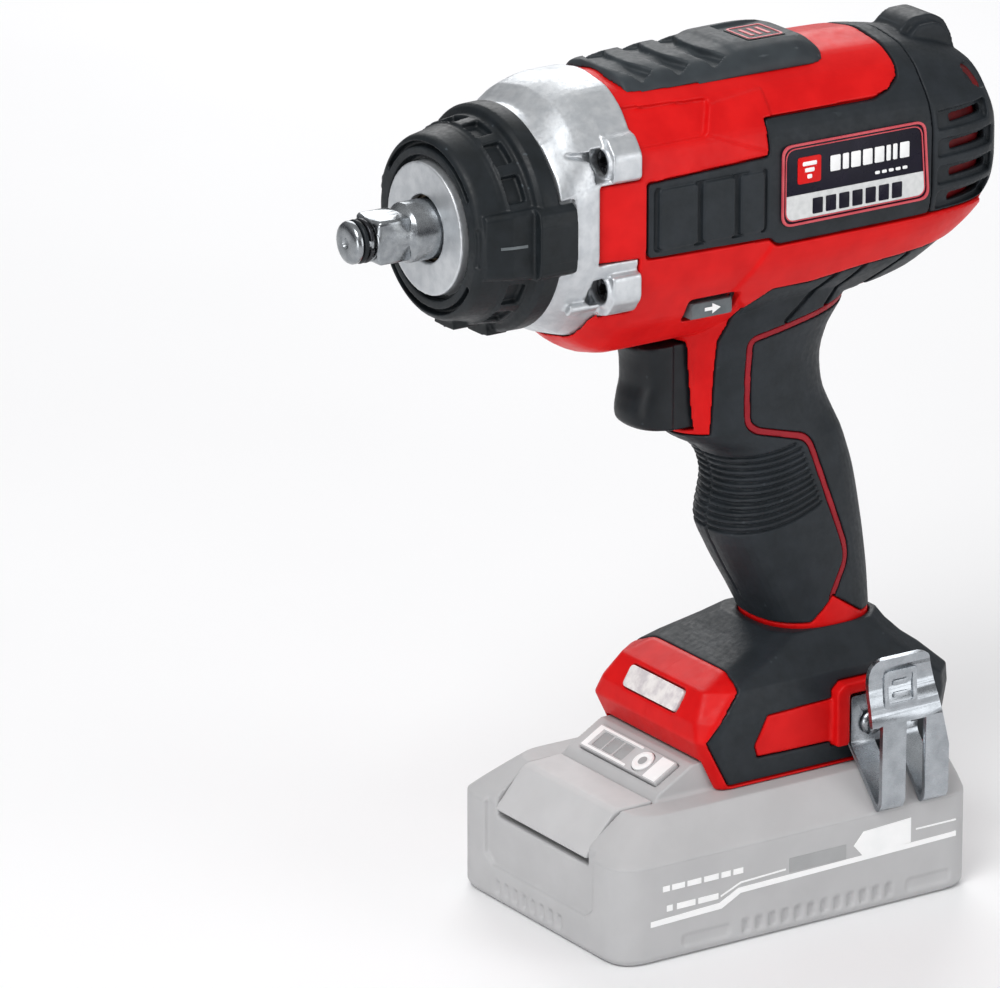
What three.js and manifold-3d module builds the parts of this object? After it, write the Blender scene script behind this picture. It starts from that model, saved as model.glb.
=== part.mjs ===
// Cordless impact wrench with a slide-on battery pack.
// Millimetres. X points forward along the anvil, Y to the tool's left, Z up.
// The origin is the middle of the battery's bottom face.
import * as THREE from 'three';
import { mergeVertices } from 'three/addons/utils/BufferGeometryUtils.js';
import Module from 'manifold-3d';

const wasm = await Module();
wasm.setup();

// ---------------------------------------------------------------- driving dimensions
const AXIS_Z = 217; // height of the anvil's axis above the battery's bottom
const SQUARE = 12.7; // half-inch square drive
const ANVIL_TIP_X = 126.4;
const CASE_FRONT_X = 100.5;
const CASE_REAR_X = 48.3;
const COVER_FRONT_X = -52; // where the rear cover begins
const COVER_FLOOR_Z = 203.5; // the rear cover stops here, above the red lower band
const GAP = 0.3; // clearance between neighbouring pieces
const HALF_GAP = GAP / 2;
const SKIN = 1.6; // soft overmould thickness
const WALL = 2.6; // hard shell thickness
const INSIDE = SKIN + WALL + 0.2; // outer surface to the hollow of the housing
const CHANNEL_TOP_Z = 50.5; // ceiling of the battery channel in the foot
const CHANNEL_HALF = 24.3;
const BATTERY_FRONT_X = 62.5;
const BATTERY_REAR_X = -62.5;
const BATTERY_HALF = 43;
const PADDLE_HALF = 23.3; // half width of the battery's release paddle
const BATTERY_SPLIT_Z = 29.6; // joint between the battery's case and lid
const BATTERY_DECK_Z = 40.7;
const TOWER_TOP_Z = 49.6;
const GEAR_MODULE = 0.8;
const SUN_TEETH = 12;
const PLANET_TEETH = 21;
const RING_TEETH = 54;
const PLANET_RADIUS = (GEAR_MODULE * (SUN_TEETH + PLANET_TEETH)) / 2;
const PLANET_ANGLES = [90, 210, 330];
const CASE_SCREW_Y = 25;
const CASE_SCREW_Z = 18.5;
const BALL_X = 66; // cam balls between camshaft and hammer
const HAMMER_TRAVEL = 7;
const HOOK_SCREW = [-33.5, 53.2]; // x, z
const LENS_X = 21.6; // middle of the lens, just under the foot's front face
const LENS_Z = 65;
const LENS_LEAN = THREE.MathUtils.degToRad(31);
const GAUGE_X = 30.6; // the gauge lies on the sloping front of the battery's tower
const GAUGE_Z = 46.1;
const GAUGE_SLOPE = Math.atan2(TOWER_TOP_Z - 42.8, 36.4 - 24.6);

// Barrel of the housing, front to back: station x, half width, rise and drop from the axis.
const BARREL = [
  [66, 28, 30, 33], [58, 29.5, 36, 41], [48, 30.5, 37.5, 45], [5, 31, 37.5, 44.6], [-40, 31, 36.8, 39.5],
  [-54, 30.4, 35.4, 36.4], [-64, 29.4, 33.2, 31.4], [-73, 27.2, 29.8, 25.4], [-80, 22.6, 24.6, 19.6],
  [-84.4, 14, 15, 12],
];
// Corners of the barrel's cross-section, as fractions of the half width and of the rise or drop.
const ROOF = [[0, 1], [0.45, 0.94], [0.68, 0.82], [0.93, 0.55], [1, 0.36]];
const BELLY = [[1, 0.21], [0.93, 0.45], [0.75, 0.71], [0.45, 0.93], [0, 1]];

// Rear of the hammer case, in the same form as the barrel.
const CASE_BODY = [
  [74.7, 32, 32.6, 32.4], [71, 32.6, 35.2, 34.4], [66, 31, 37.4, 36], [58, 30, 38.6, 37.6], [48.3, 30.2, 38.8, 38],
];

// Handle, bottom to top: height, front x, back x, half width.
const HANDLE = [
  [68, -15.5, -47.6, 17.3], [80, -12.4, -48.6, 16.9], [88, -8.2, -48.4, 16.6], [103, 0.3, -46.7, 17.3],
  [113, 4.4, -45, 17.6], [125, 2.4, -42.5, 17], [132, 4.2, -40.4, 16.6], [137, 8.4, -38.7, 16.4],
  [143.5, 19, -35.6, 16.2], [152, 20.4, -31.8, 16.3], [161, 20.8, -30.7, 16.9], [170, 21, -32.8, 18.5],
  [178, 21, -37.6, 20.5], [195, 17, -46, 22],
];
const HANDLE_ROUNDNESS = 2.5; // superellipse power of the handle's cross-section
const HANDLE_SIDES = 16;

// Foot, bottom to top: height, front x, half width of the front face, full half width,
// length of the front corner, rear x.
const FOOT = [
  [41, 17.8, 25.8, 27.5, 2, -65], [50, 22.6, 24.5, 28, 3, -66.5], [56.8, 25.2, 26.4, 28.4, 2.4, -67.5],
  [62, 24.2, 24, 28.2, 4.5, -67.2], [69.6, 19.6, 20.8, 26.4, 8, -58.5], [73, 11, 18, 23.8, 7, -54],
  [77, -2, 14.5, 20.4, 6, -50.5], [80, -10, 12.5, 17.8, 5, -49],
];

// ---------------------------------------------------------------- materials
const LOOK = {
  red: { color: 0xcd1c20, roughness: 0.42, metalness: 0 },
  overmould: { color: 0x34393d, roughness: 0.7, metalness: 0 },
  pad: { color: 0x50585a, roughness: 0.7, metalness: 0 },
  black: { color: 0x1c1e20, roughness: 0.5, metalness: 0 },
  cast: { color: 0xd4d7d9, roughness: 0.38, metalness: 0.85 },
  steel: { color: 0xb8babc, roughness: 0.28, metalness: 1 },
  darkSteel: { color: 0x4a4b4e, roughness: 0.4, metalness: 1 },
  brass: { color: 0xb08a45, roughness: 0.35, metalness: 1 },
  copper: { color: 0xa8632f, roughness: 0.45, metalness: 0.8 },
  grey: { color: 0x9a9fa1, roughness: 0.5, metalness: 0 },
  ghost: { color: 0xc2c4c5, roughness: 0.55, metalness: 0 },
  ghostLight: { color: 0xe6e7e8, roughness: 0.5, metalness: 0 },
  lens: { color: 0xe8e8ea, roughness: 0.3, metalness: 0 },
  badge: { color: 0x15172a, roughness: 0.3, metalness: 0.2 },
  board: { color: 0x1f5a35, roughness: 0.6, metalness: 0 },
  cell: { color: 0x3a6ea5, roughness: 0.5, metalness: 0 },
};

// ---------------------------------------------------------------- solids from three.js geometry
function toSolid(geometry) {
  const bare = geometry.index ? geometry.toNonIndexed() : geometry.clone();
  bare.deleteAttribute('normal');
  bare.deleteAttribute('uv');
  const merged = mergeVertices(bare, 1e-4);
  const place = merged.attributes.position;
  const corner = (i) => new THREE.Vector3().fromBufferAttribute(place, i);
  const triangles = [];
  let volume = 0;
  for (let i = 0; i < merged.index.count; i += 3) {
    const [a, b, c] = [0, 1, 2].map((k) => merged.index.getX(i + k));
    if (a === b || b === c || c === a) continue;
    triangles.push([a, b, c]);
    volume += corner(a).dot(corner(b).cross(corner(c)));
  }
  const outward = volume > 0 ? triangles : triangles.map(([a, b, c]) => [a, c, b]);
  return new wasm.Manifold(new wasm.Mesh({
    numProp: 3,
    vertProperties: new Float32Array(place.array),
    triVerts: new Uint32Array(outward.flat()),
  }));
}

function toGeometry(solid) {
  const mesh = solid.getMesh();
  const geometry = new THREE.BufferGeometry();
  geometry.setAttribute('position', new THREE.BufferAttribute(new Float32Array(mesh.vertProperties), 3));
  geometry.setIndex(new THREE.BufferAttribute(new Uint32Array(mesh.triVerts), 1));
  geometry.computeVertexNormals();
  return geometry;
}

const join = (first, ...others) => others.reduce((sum, next) => sum.add(next), first);
const cut = (first, ...tools) => tools.reduce((rest, tool) => rest.subtract(tool), first);
const overlap = (first, ...others) => others.reduce((rest, next) => rest.intersect(next), first);

function block(x0, x1, y0, y1, z0, z1) {
  const geometry = new THREE.BoxGeometry(x1 - x0, y1 - y0, z1 - z0);
  geometry.translate((x0 + x1) / 2, (y0 + y1) / 2, (z0 + z1) / 2);
  return toSolid(geometry);
}

const bothSides = (x0, x1, half, z0, z1) => block(x0, x1, -half, half, z0, z1);

// A block on one side of the tool only; near and far are distances from the middle plane.
const onSide = (side, x0, x1, near, far, z0, z1) =>
  block(x0, x1, Math.min(side * near, side * far), Math.max(side * near, side * far), z0, z1);
const onBoth = (...sizes) => [1, -1].map((side) => onSide(side, ...sizes));

// Extrudes a closed outline; `across` and `up` are the directions of its two coordinates.
function prism(outline, across, up, start, end) {
  const shape = new THREE.Shape(outline.map(([a, b]) => new THREE.Vector2(a, b)));
  const geometry = new THREE.ExtrudeGeometry(shape, { depth: end - start, bevelEnabled: false });
  const along = new THREE.Vector3().crossVectors(across, up);
  geometry.applyMatrix4(new THREE.Matrix4().makeBasis(across, up, along));
  const shift = along.clone().multiplyScalar(start);
  geometry.translate(shift.x, shift.y, shift.z);
  return toSolid(geometry);
}

const X = new THREE.Vector3(1, 0, 0);
const Y = new THREE.Vector3(0, 1, 0);
const Z = new THREE.Vector3(0, 0, 1);
const sidePrism = (outline, y0, y1) => prism(outline, X, Z, -y1, -y0); // outline in x, z
const frontPrism = (outline, x0, x1) => prism(outline, Y, Z, x0, x1); // outline in y, z
const planPrism = (outline, z0, z1) => prism(outline, X, Y, z0, z1); // outline in x, y

// Turns a profile of [x, radius] about an axis parallel to X through (y, z).
function turned(profile, segments = 32, y = 0, z = AXIS_Z) {
  const points = profile.map(([x, r]) => new THREE.Vector2(r, x));
  const geometry = new THREE.LatheGeometry(points, segments);
  geometry.rotateZ(-Math.PI / 2);
  geometry.translate(0, y, z);
  return toSolid(geometry);
}

const rod = (x0, x1, r, segments = 24, y = 0, z = AXIS_Z) =>
  turned([[x0, 0], [x0, r], [x1, r], [x1, 0]], segments, y, z);

const ring = (x0, x1, inner, outer, segments = 32, y = 0, z = AXIS_Z) =>
  turned([[x0, inner], [x0, outer], [x1, outer], [x1, inner], [x0, inner]], segments, y, z);

function crossRod(x, z, r, y0, y1, segments = 20) {
  const geometry = new THREE.CylinderGeometry(r, r, y1 - y0, segments);
  geometry.translate(x, (y0 + y1) / 2, z);
  return toSolid(geometry);
}

// Closed solid through a row of rings with the same number of points.
function loft(rings) {
  const count = rings[0].length;
  const points = rings.flat().map(([x, y, z]) => new THREE.Vector3(x, y, z));
  const middle = (row) => row.reduce((sum, [x, y, z]) => sum.add(new THREE.Vector3(x, y, z)),
    new THREE.Vector3()).divideScalar(count);
  const firstCap = points.push(middle(rings[0])) - 1;
  const lastCap = points.push(middle(rings[rings.length - 1])) - 1;
  const last = (rings.length - 1) * count;
  const faces = [];
  for (let j = 0; j < count; j += 1) {
    const k = (j + 1) % count;
    for (let i = 0; i < last; i += count) {
      faces.push(i + j, i + k, i + count + j, i + k, i + count + k, i + count + j);
    }
    faces.push(firstCap, k, j, lastCap, last + j, last + k);
  }
  const geometry = new THREE.BufferGeometry().setFromPoints(points);
  geometry.setIndex(faces);
  return toSolid(geometry);
}

// ---------------------------------------------------------------- the three lofted outer forms
function barrelRing(x, half, rise, drop) {
  const upper = ROOF.map(([a, h]) => [half * a, rise * h]);
  const lower = BELLY.map(([a, h]) => [half * a, -drop * h]);
  const left = [...upper, ...lower];
  const right = left.slice(1, -1).reverse().map(([y, z]) => [-y, z]);
  return [...left, ...right].map(([y, z]) => [x, y, AXIS_Z + z]);
}

function barrel(inset = 0, stations = BARREL) {
  return loft(stations.map(([x, half, rise, drop]) =>
    barrelRing(x < -60 ? x + inset : x, half - inset, rise - inset, drop - inset)));
}

function handle(inset = 0) {
  const power = 2 / HANDLE_ROUNDNESS;
  const bend = (value) => Math.sign(value) * Math.abs(value) ** power;
  return loft(HANDLE.map(([z, front, back, half]) => {
    const depth = (front - back) / 2 - inset;
    return Array.from({ length: HANDLE_SIDES }, (_, i) => {
      const angle = (2 * Math.PI * i) / HANDLE_SIDES;
      return [(front + back) / 2 + depth * bend(Math.cos(angle)), (half - inset) * bend(Math.sin(angle)), z];
    });
  }));
}

function foot(inset = 0, stations = FOOT) {
  return loft(stations.map(([z, front, frontHalf, half, corner, rear]) => {
    const side = [[front - inset, frontHalf - inset * 0.6], [front - corner - inset * 0.5, half - inset],
      [rear + 7, half - inset], [rear + inset, half - 7]];
    return [...side, ...side.slice().reverse().map(([x, y]) => [x, -y])].map(([x, y]) => [x, y, z]);
  }));
}

const body = (inset) => join(barrel(inset), handle(inset));
const FAR = 200;
const leftOf = (solid) => overlap(solid, block(-FAR, FAR, HALF_GAP, FAR, -FAR, 2 * FAR));
const rightOf = (solid) => overlap(solid, block(-FAR, FAR, -FAR, -HALF_GAP, -FAR, 2 * FAR));

// The outer layer of a form inside a region, and the room that is cut for such a layer.
const layer = (form, depth, region) => overlap(cut(form(0), form(depth)), region);
const room = (form, depth, region) => cut(region, form(depth));

// ---------------------------------------------------------------- regions seen from the side
const GRIP_OUTLINE = [
  [11.5, 172.7], [11.5, 143.6], [30, 143.6], [30, 82.3], [-60, 82.3], [-60, 140], [-90, 165], [-90, 193],
  [-59, 192], [-31, 190.2], [-13.7, 188.4], [-0.5, 188.6], [7.1, 183.9],
];
const SIDE_PAD_OUTLINE = [
  [45.6, 228.2], [4.8, 229.8], [4.2, 239.8], [-34, 239.4], [-40, 241], [-44.6, 243.6], [-46, 247.5], [-46, 262],
  [-51.7, 262], [-51.7, 203.8], [1.5, 203.6], [4, 206], [45.6, 206.8],
];
const FOOT_SKIN_OUTLINE = [
  [7.6, 79.7], [10.4, 69.4], [22.4, 56.8], [14.6, 42.2], [-70, 42.2], [-70, 79.7],
];
const FOOT_INSERT_OUTLINE = [[1.7, 61.4], [-21.6, 62.2], [-21.6, 48.4], [4.9, 48.8], [6.2, 52.9]];
const BRACKET_OUTLINE = [[-21.4, 47.4], [-26, 47.4], [-26, 63], [-51, 63], [-51, 66.3], [-24, 66.3], [-21.4, 64]];

function grow(outline, by) {
  const count = outline.length;
  const area = outline.reduce((sum, [x, y], i) => {
    const [u, v] = outline[(i + 1) % count];
    return sum + x * v - u * y;
  }, 0);
  const turn = Math.sign(area);
  return outline.map((here, i) => {
    const before = outline[(i + count - 1) % count];
    const after = outline[(i + 1) % count];
    const a = new THREE.Vector2(here[0] - before[0], here[1] - before[1]).normalize();
    const b = new THREE.Vector2(after[0] - here[0], after[1] - here[1]).normalize();
    const normal = new THREE.Vector2(a.y + b.y, -a.x - b.x).normalize();
    const reach = (by * turn) / Math.max(0.4, normal.x * a.y - normal.y * a.x);
    return [here[0] + normal.x * reach, here[1] + normal.y * reach];
  });
}

const across = (outline) => sidePrism(outline, -FAR, FAR);

// ---------------------------------------------------------------- hammer case, bumper, screws
function caseEnvelope(clearance = 0) {
  const nose = turned([
    [70, 0], [70, 31 + clearance], [74.7 + clearance, 31 + clearance], [78 + clearance, 26 + clearance],
    [82 + clearance, 26 + clearance], [83.5 + clearance, 22 + clearance], [96 + clearance, 22 + clearance],
    [96 + clearance, 19 + clearance], [CASE_FRONT_X, 19 + clearance], [CASE_FRONT_X, 0],
  ], 28);
  const ears = [1, -1].flatMap((side) => [1, -1].map((up) => frontPrism(
    [[19, 13.6 - clearance], [31.2 + clearance, 13.6 - clearance], [31.2 + clearance, 20 + clearance],
      [27.6 + clearance, 25.6 + clearance], [19, 27.6 + clearance]]
      .map(([y, z]) => [side * y, AXIS_Z + up * z]), CASE_REAR_X - clearance, 58)));
  return join(barrel(-clearance, CASE_BODY), nose, ...ears);
}

function hammerCase() {
  const hollow = turned([
    [40, 0], [40, 24.5], [76, 24.5], [76, 18.5], [84, 18.5], [84, 11], [98, 11], [98, 9.7],
    [CASE_FRONT_X + 2, 9.7], [CASE_FRONT_X + 2, 0],
  ], 24);
  const sides = [
    ...onBoth(40, 61.9, 25.9, 40, AXIS_Z - 10, AXIS_Z + 13),
    ...onBoth(70.6, 90, 29.6, 40, AXIS_Z - 11.2, AXIS_Z + 11.2),
  ];
  const seats = caseScrewPlaces().flatMap(([y, z]) => [
    rod(54.3, 60, 3.8, 14, y, z), rod(40, 56, 2.2, 10, y, z)]);
  return cut(caseEnvelope(), hollow, ...sides, ...seats);
}

function caseScrewPlaces() {
  return [1, -1].flatMap((side) => [1, -1].map((up) => [side * CASE_SCREW_Y, AXIS_Z + up * CASE_SCREW_Z]));
}

function caseScrew([y, z]) {
  const head = rod(54.6, 57.4, 3.4, 14, y, z);
  const socket = rod(55.8, 58, 1.7, 6, y, z);
  return cut(join(head, rod(32, 55, 1.9, 10, y, z)), socket);
}

function noseBumper() {
  const band = turned([
    [75.2, 17], [75.2, 31.2], [76, 31.7], [81.5, 31.7], [82.6, 29], [90.5, 28.4], [92, 27.4], [97.6, 26.4],
    [99.3, 24.6], [99.3, 20.5], [96.4, 20.5], [96.4, 17], [75.2, 17],
  ], 28);
  const chin = frontPrism([[-9, -30], [9, -30], [7, -33.2], [-7, -33.2]].map(([y, z]) => [y, AXIS_Z + z]), 77, 83);
  const straps = [1, -1].map((side) => frontPrism(
    [[29.9, -10.3], [32.6, -9.8], [33.4, -6], [33.4, 6], [32.6, 9.8], [29.9, 10.3]]
      .map(([y, z]) => [side * y, AXIS_Z + z]), 71, 84));
  return join(cut(join(band, chin), caseEnvelope(GAP)), ...straps);
}

// ---------------------------------------------------------------- anvil and impact mechanism
function sector(x0, x1, inner, outer, centre, width) {
  const steps = 4;
  const arc = (r, from, to) => Array.from({ length: steps + 1 }, (_, i) => {
    const angle = THREE.MathUtils.degToRad(from + ((to - from) * i) / steps);
    return [r * Math.cos(angle), AXIS_Z + r * Math.sin(angle)];
  });
  const [a, b] = [centre - width / 2, centre + width / 2];
  return frontPrism([...arc(outer, a, b), ...arc(inner, b, a)], x0, x1);
}

function anvil() {
  const half = SQUARE / 2;
  const core = turned([
    [76, 0], [76, 9.4], [83, 9.4], [83, 8.6], [107.6, 8.6], [108.8, 7.6], [108.8, 6.2], [119.4, 6.2], [119.4, 6],
    [119.8, 4.6], [123.6, 4.6], [123.9, 6], [125.2, 6], [ANVIL_TIP_X, 4.4], [ANVIL_TIP_X, 1.4],
    [ANVIL_TIP_X - 1, 0],
  ], 24);
  const chamfer = 1;
  const squareOutline = [[half, half - chamfer], [half - chamfer, half], [chamfer - half, half],
    [-half, half - chamfer], [-half, chamfer - half], [chamfer - half, -half], [half - chamfer, -half],
    [half, chamfer - half]].map(([y, z]) => [y, AXIS_Z + z]);
  const lugs = [0, 180].map((angle) => sector(76, 83, 8.4, 17.5, angle, 42));
  const whole = join(core, frontPrism(squareOutline, 108, 119.4), ...lugs);
  return cut(whole, rod(70, 90, 5.3, 16));
}

function snapRing() {
  const bead = new THREE.CatmullRomCurve3(Array.from({ length: 21 }, (_, i) => {
    const angle = THREE.MathUtils.degToRad(12 + (336 * i) / 20);
    return new THREE.Vector3(120.9, 5.75 * Math.cos(angle), AXIS_Z + 5.75 * Math.sin(angle));
  }));
  return toSolid(new THREE.ExtrudeGeometry(circleShape(0.8, 6), { steps: 24, extrudePath: bead }));
}

function circleShape(radius, sides) {
  return new THREE.Shape(Array.from({ length: sides }, (_, i) => {
    const angle = (2 * Math.PI * i) / sides;
    return new THREE.Vector2(radius * Math.cos(angle), radius * Math.sin(angle));
  }));
}

function sealRing() {
  const profile = Array.from({ length: 7 }, (_, i) => {
    const angle = (2 * Math.PI * i) / 6;
    return [122.7 + 0.7 * Math.cos(angle), 5.65 + 0.7 * Math.sin(angle)];
  });
  return turned(profile, 24);
}

function coilSpring(x0, x1, radius, wire, turns, y, z) {
  class Helix extends THREE.Curve {
    getPoint(t, target = new THREE.Vector3()) {
      const angle = 2 * Math.PI * turns * t;
      return target.set(x0 + wire / 2 + (x1 - x0 - wire) * t, y + radius * Math.cos(angle),
        z + radius * Math.sin(angle));
    }
  }
  const steps = Math.round(turns * 11);
  return toSolid(new THREE.ExtrudeGeometry(circleShape(wire / 2, 5), { steps, extrudePath: new Helix() }));
}

function camBall(side) {
  const geometry = new THREE.SphereGeometry(2.4, 12, 8);
  geometry.translate(66, 0, AXIS_Z + side * 7.6);
  return toSolid(geometry);
}

function hammer() {
  const core = turned([
    [54, 18.2], [54, 21.2], [55, 22], [74.5, 22], [75.5, 21], [75.5, 7.4], [64.4, 7.4], [64.4, 9.4],
    [63.4, 10], [63.4, 18.2], [54, 18.2],
  ], 28);
  const lugs = [90, 270].map((angle) => sector(75, 81.4, 9.8, 17.2, angle, 44));
  const grooves = [1, -1].map((side) => rod(BALL_X - 2.8, BALL_X + 2.8 + HAMMER_TRAVEL, 2.8, 10, 0,
    AXIS_Z + side * 7.6));
  return cut(join(core, ...lugs), ...grooves);
}

function camshaft() {
  const core = turned([
    [38.6, 0], [38.6, 17.2], [39.2, 17.6], [43.4, 17.6], [44, 17], [44, 9], [46, 8.4], [46, 7], [75, 7],
    [75.6, 5], [88.5, 5], [89, 4.4], [89, 0],
  ], 24);
  const pockets = [1, -1].map((side) => rod(BALL_X - 2.8, BALL_X + 2.8, 2.75, 10, 0, AXIS_Z + side * 7.6));
  const holes = PLANET_ANGLES.map((angle) => {
    const [y, z] = planetPlace(angle);
    return rod(30, 50, 2.7, 12, y, z);
  });
  return cut(core, rod(30, 41, 5.2, 16), ...pockets, ...holes);
}

// ---------------------------------------------------------------- planetary gearing
function gearOutline(teeth, tipRadius, rootRadius, phase, y = 0, z = AXIS_Z) {
  const pitch = (2 * Math.PI) / teeth;
  const outwards = Math.sign(tipRadius - rootRadius);
  const spread = outwards > 0 ? [-0.27, -0.11, 0.11, 0.27] : [-0.24, -0.1, 0.1, 0.24];
  const radii = [rootRadius, tipRadius, tipRadius, rootRadius];
  return Array.from({ length: teeth }, (_, i) => spread.map((part, k) => {
    const angle = phase + (i + part) * pitch;
    return [y + radii[k] * Math.cos(angle), z + radii[k] * Math.sin(angle)];
  })).flat();
}

function planetPlace(degrees) {
  const angle = THREE.MathUtils.degToRad(degrees);
  return [PLANET_RADIUS * Math.cos(angle), AXIS_Z + PLANET_RADIUS * Math.sin(angle)];
}

const tipOf = (teeth) => GEAR_MODULE * (teeth / 2 + 0.85);
const rootOf = (teeth) => GEAR_MODULE * (teeth / 2 - 1.3);

function planetGear(degrees) {
  const [y, z] = planetPlace(degrees);
  const facing = THREE.MathUtils.degToRad(degrees); // a tooth points away from the sun
  const outline = gearOutline(PLANET_TEETH, tipOf(PLANET_TEETH), rootOf(PLANET_TEETH), facing, y, z);
  return cut(frontPrism(outline, 28, 37.6), rod(20, 40, 2.7, 12, y, z));
}

function planetPin(degrees) {
  const [y, z] = planetPlace(degrees);
  return rod(27.4, 42.6, 2.4, 12, y, z);
}

function ringGear() {
  const quarter = THREE.MathUtils.degToRad(90);
  const halfPitch = Math.PI / RING_TEETH;
  const inner = gearOutline(RING_TEETH, GEAR_MODULE * (RING_TEETH / 2 - 0.85),
    GEAR_MODULE * (RING_TEETH / 2 + 1.3), quarter + halfPitch);
  return cut(rod(26.4, 38, 25.2, 48), frontPrism(inner, 20, 45));
}

// ---------------------------------------------------------------- motor
function gearboxPlate() {
  return join(ring(18.6, 24.4, 6.2, 25.2, 32), ring(12.4, 18.6, 9.8, 12.6, 24));
}

function bearing(x0, x1, outer, inner) {
  return turned([
    [x0, inner], [x0 + 0.5, inner + 1.6], [x0 + 0.5, outer - 1.6], [x0, outer], [x1, outer], [x1, inner],
    [x0, inner],
  ], 24);
}

function rotor() {
  const core = turned([
    [-66, 0], [-66, 3], [-34, 3], [-34, 5], [-32, 5], [-32, 12], [6, 12], [6, 5], [8, 5], [8, 3], [25, 3],
    [25, 0],
  ], 24);
  const pinion = frontPrism(gearOutline(SUN_TEETH, tipOf(SUN_TEETH), rootOf(SUN_TEETH), 0), 24.9, 37.4);
  return join(core, pinion);
}

function coolingFan() {
  const hub = ring(-50, -42, 3.3, 8, 16);
  const disc = ring(-44, -42.6, 7.5, 22, 24);
  const blades = Array.from({ length: 9 }, (_, i) => {
    const angle = (2 * Math.PI * i) / 9;
    const blade = new THREE.BoxGeometry(7, 14.5, 1.2);
    blade.translate(-46.6, 14.2, 0);
    blade.rotateX(angle);
    blade.translate(0, 0, AXIS_Z);
    return toSolid(blade);
  });
  return join(hub, disc, ...blades);
}

function stator() {
  const teeth = 6;
  const shell = ring(-34, 8, 20.4, 24.4, 30);
  const poles = Array.from({ length: teeth }, (_, i) => {
    const angle = 60 * i + 30;
    return join(sector(-34, 8, 12.6, 21, angle, 18), sector(-38, 12, 14.8, 19.8, angle, 40));
  });
  return join(shell, ...poles);
}

// ---------------------------------------------------------------- housing shells and covers
const triggerPocket = () => bothSides(0.5, 40, 9.9, 145.2, 172.2);

function housingBody() {
  const coverZone = block(-FAR, COVER_FRONT_X, -FAR, FAR, COVER_FLOOR_Z, FAR * 2);
  const frontZone = block(CASE_REAR_X - GAP, FAR, -FAR, FAR, AXIS_Z - 24, FAR * 2);
  const tongues = overlap(barrel(), join(...onBoth(40, 61.6, 26.2, 40, AXIS_Z - 9.7, AXIS_Z + 12.7)));
  const trunk = cut(barrel(), coverZone, frontZone);
  const chinClear = cut(caseEnvelope(GAP), ...onBoth(-FAR, 61.6, 25.9, 60, AXIS_Z - 10, AXIS_Z + 13));
  const outer = join(trunk, tongues, handle(), foot(), bracket(1), bracket(-1));
  const hollow = join(barrel(INSIDE, BARREL.slice(2).map(([x, ...rest]) => [x === 48 ? 60 : x, ...rest])),
    overlap(handle(INSIDE), block(-FAR, FAR, -FAR, FAR, 70, 300)),
    foot(3.2, [[53.2, ...FOOT[1].slice(1)], ...FOOT.slice(2, 6)]));
  const channel = bothSides(-52, 40, CHANNEL_HALF, 30, CHANNEL_TOP_Z);
  const shell = cut(outer, chinClear, cut(hollow, block(CASE_REAR_X + 4, 80, -60, 60, 100, AXIS_Z - 20)), channel);
  return join(shell, ...screwBosses());
}

function bracket(side) {
  return sidePrism(BRACKET_OUTLINE, side > 0 ? 24 : -30.8, side > 0 ? 30.8 : -24);
}

function screwBosses() {
  return caseScrewPlaces().map(([y, z]) => cut(overlap(rod(30, CASE_REAR_X - GAP, 4.2, 16, y, z), barrel()),
    rod(20, 60, 2.2, 16, y, z)));
}

function housingCuts() {
  const skinRoom = SKIN + GAP;
  return [
    room(body, skinRoom, across(grow(GRIP_OUTLINE, GAP))),
    room(barrel, skinRoom, across(grow(SIDE_PAD_OUTLINE, 2 * GAP))),
    cut(room(foot, skinRoom, across(grow(FOOT_SKIN_OUTLINE, GAP))), across(grow(FOOT_INSERT_OUTLINE, -GAP)),
      across(BRACKET_OUTLINE), handle()),
    triggerPocket(),
    bothSides(12.6, 27.2, 60, 183.4, 189.2),
    bothSides(-22.4, -1.6, 15.4, 50, 56),
    lensBlock(13.9, 3.8, 1.5, 4),
    crossRod(...HOOK_SCREW, 2, -60, 60, 16),
    ...caseScrewPlaces().map(([y, z]) => rod(20, 60, 2.2, 16, y, z)),
  ];
}

function housingShells() {
  const rails = onBoth(-50, 10, 21.6, 25, 43.4, 45.2);
  const whole = join(cut(housingBody(), ...housingCuts()), ...rails);
  return [leftOf(whole), rightOf(whole)];
}

function rearCover() {
  const zone = block(-FAR, COVER_FRONT_X - GAP, -FAR, FAR, COVER_FLOOR_Z + GAP, 2 * FAR);
  const outline = [[-54, 247], [-58.6, 252.6], [-61.6, 254.8], [-68.4, 255.2], [-73, 252.8], [-76, 247.4],
    [-78, 238], [-54, 238]];
  const hump = join(sidePrism(outline, -6.4, 6.4), sidePrism(grow(outline, -2), -9.4, 9.4));
  const shell = overlap(cut(join(barrel(), hump), barrel(WALL + 0.2)), zone);
  const seat = join(ring(-80, -64.4, 7.4, 12.6, 24), ring(-64.4, -57.6, 9.8, 12.6, 24));
  const vents = [[-74, 230.5], [-76, 222.5], [-76, 214.5], [-76, 207]].flatMap(([rear, z]) =>
    onBoth(rear, -60, 18, 40, z - 2, z + 2));
  return join(cut(shell, ...vents), seat);
}

function topPad() {
  const sections = [[45, 36.6, 15], [43.4, 39.2, 16.6], [20, 40.2, 17.4], [-2, 40.6, 17.6], [-10, 41.4, 17.6],
    [-19, 40.6, 17.4], [-24.6, 37.4, 16.4], [-26, 35.6, 14]];
  const rings = sections.map(([x, top, half]) => [
    [half, 28], [half, top - 5.6], [half - 3.4, top - 1.8], [half * 0.45, top - 0.3],
    [-half * 0.45, top - 0.3], [3.4 - half, top - 1.8], [-half, top - 5.6], [-half, 28],
  ].map(([y, z]) => [x, y, AXIS_Z + z]));
  return cut(loft(rings), barrel(-GAP));
}

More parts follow.
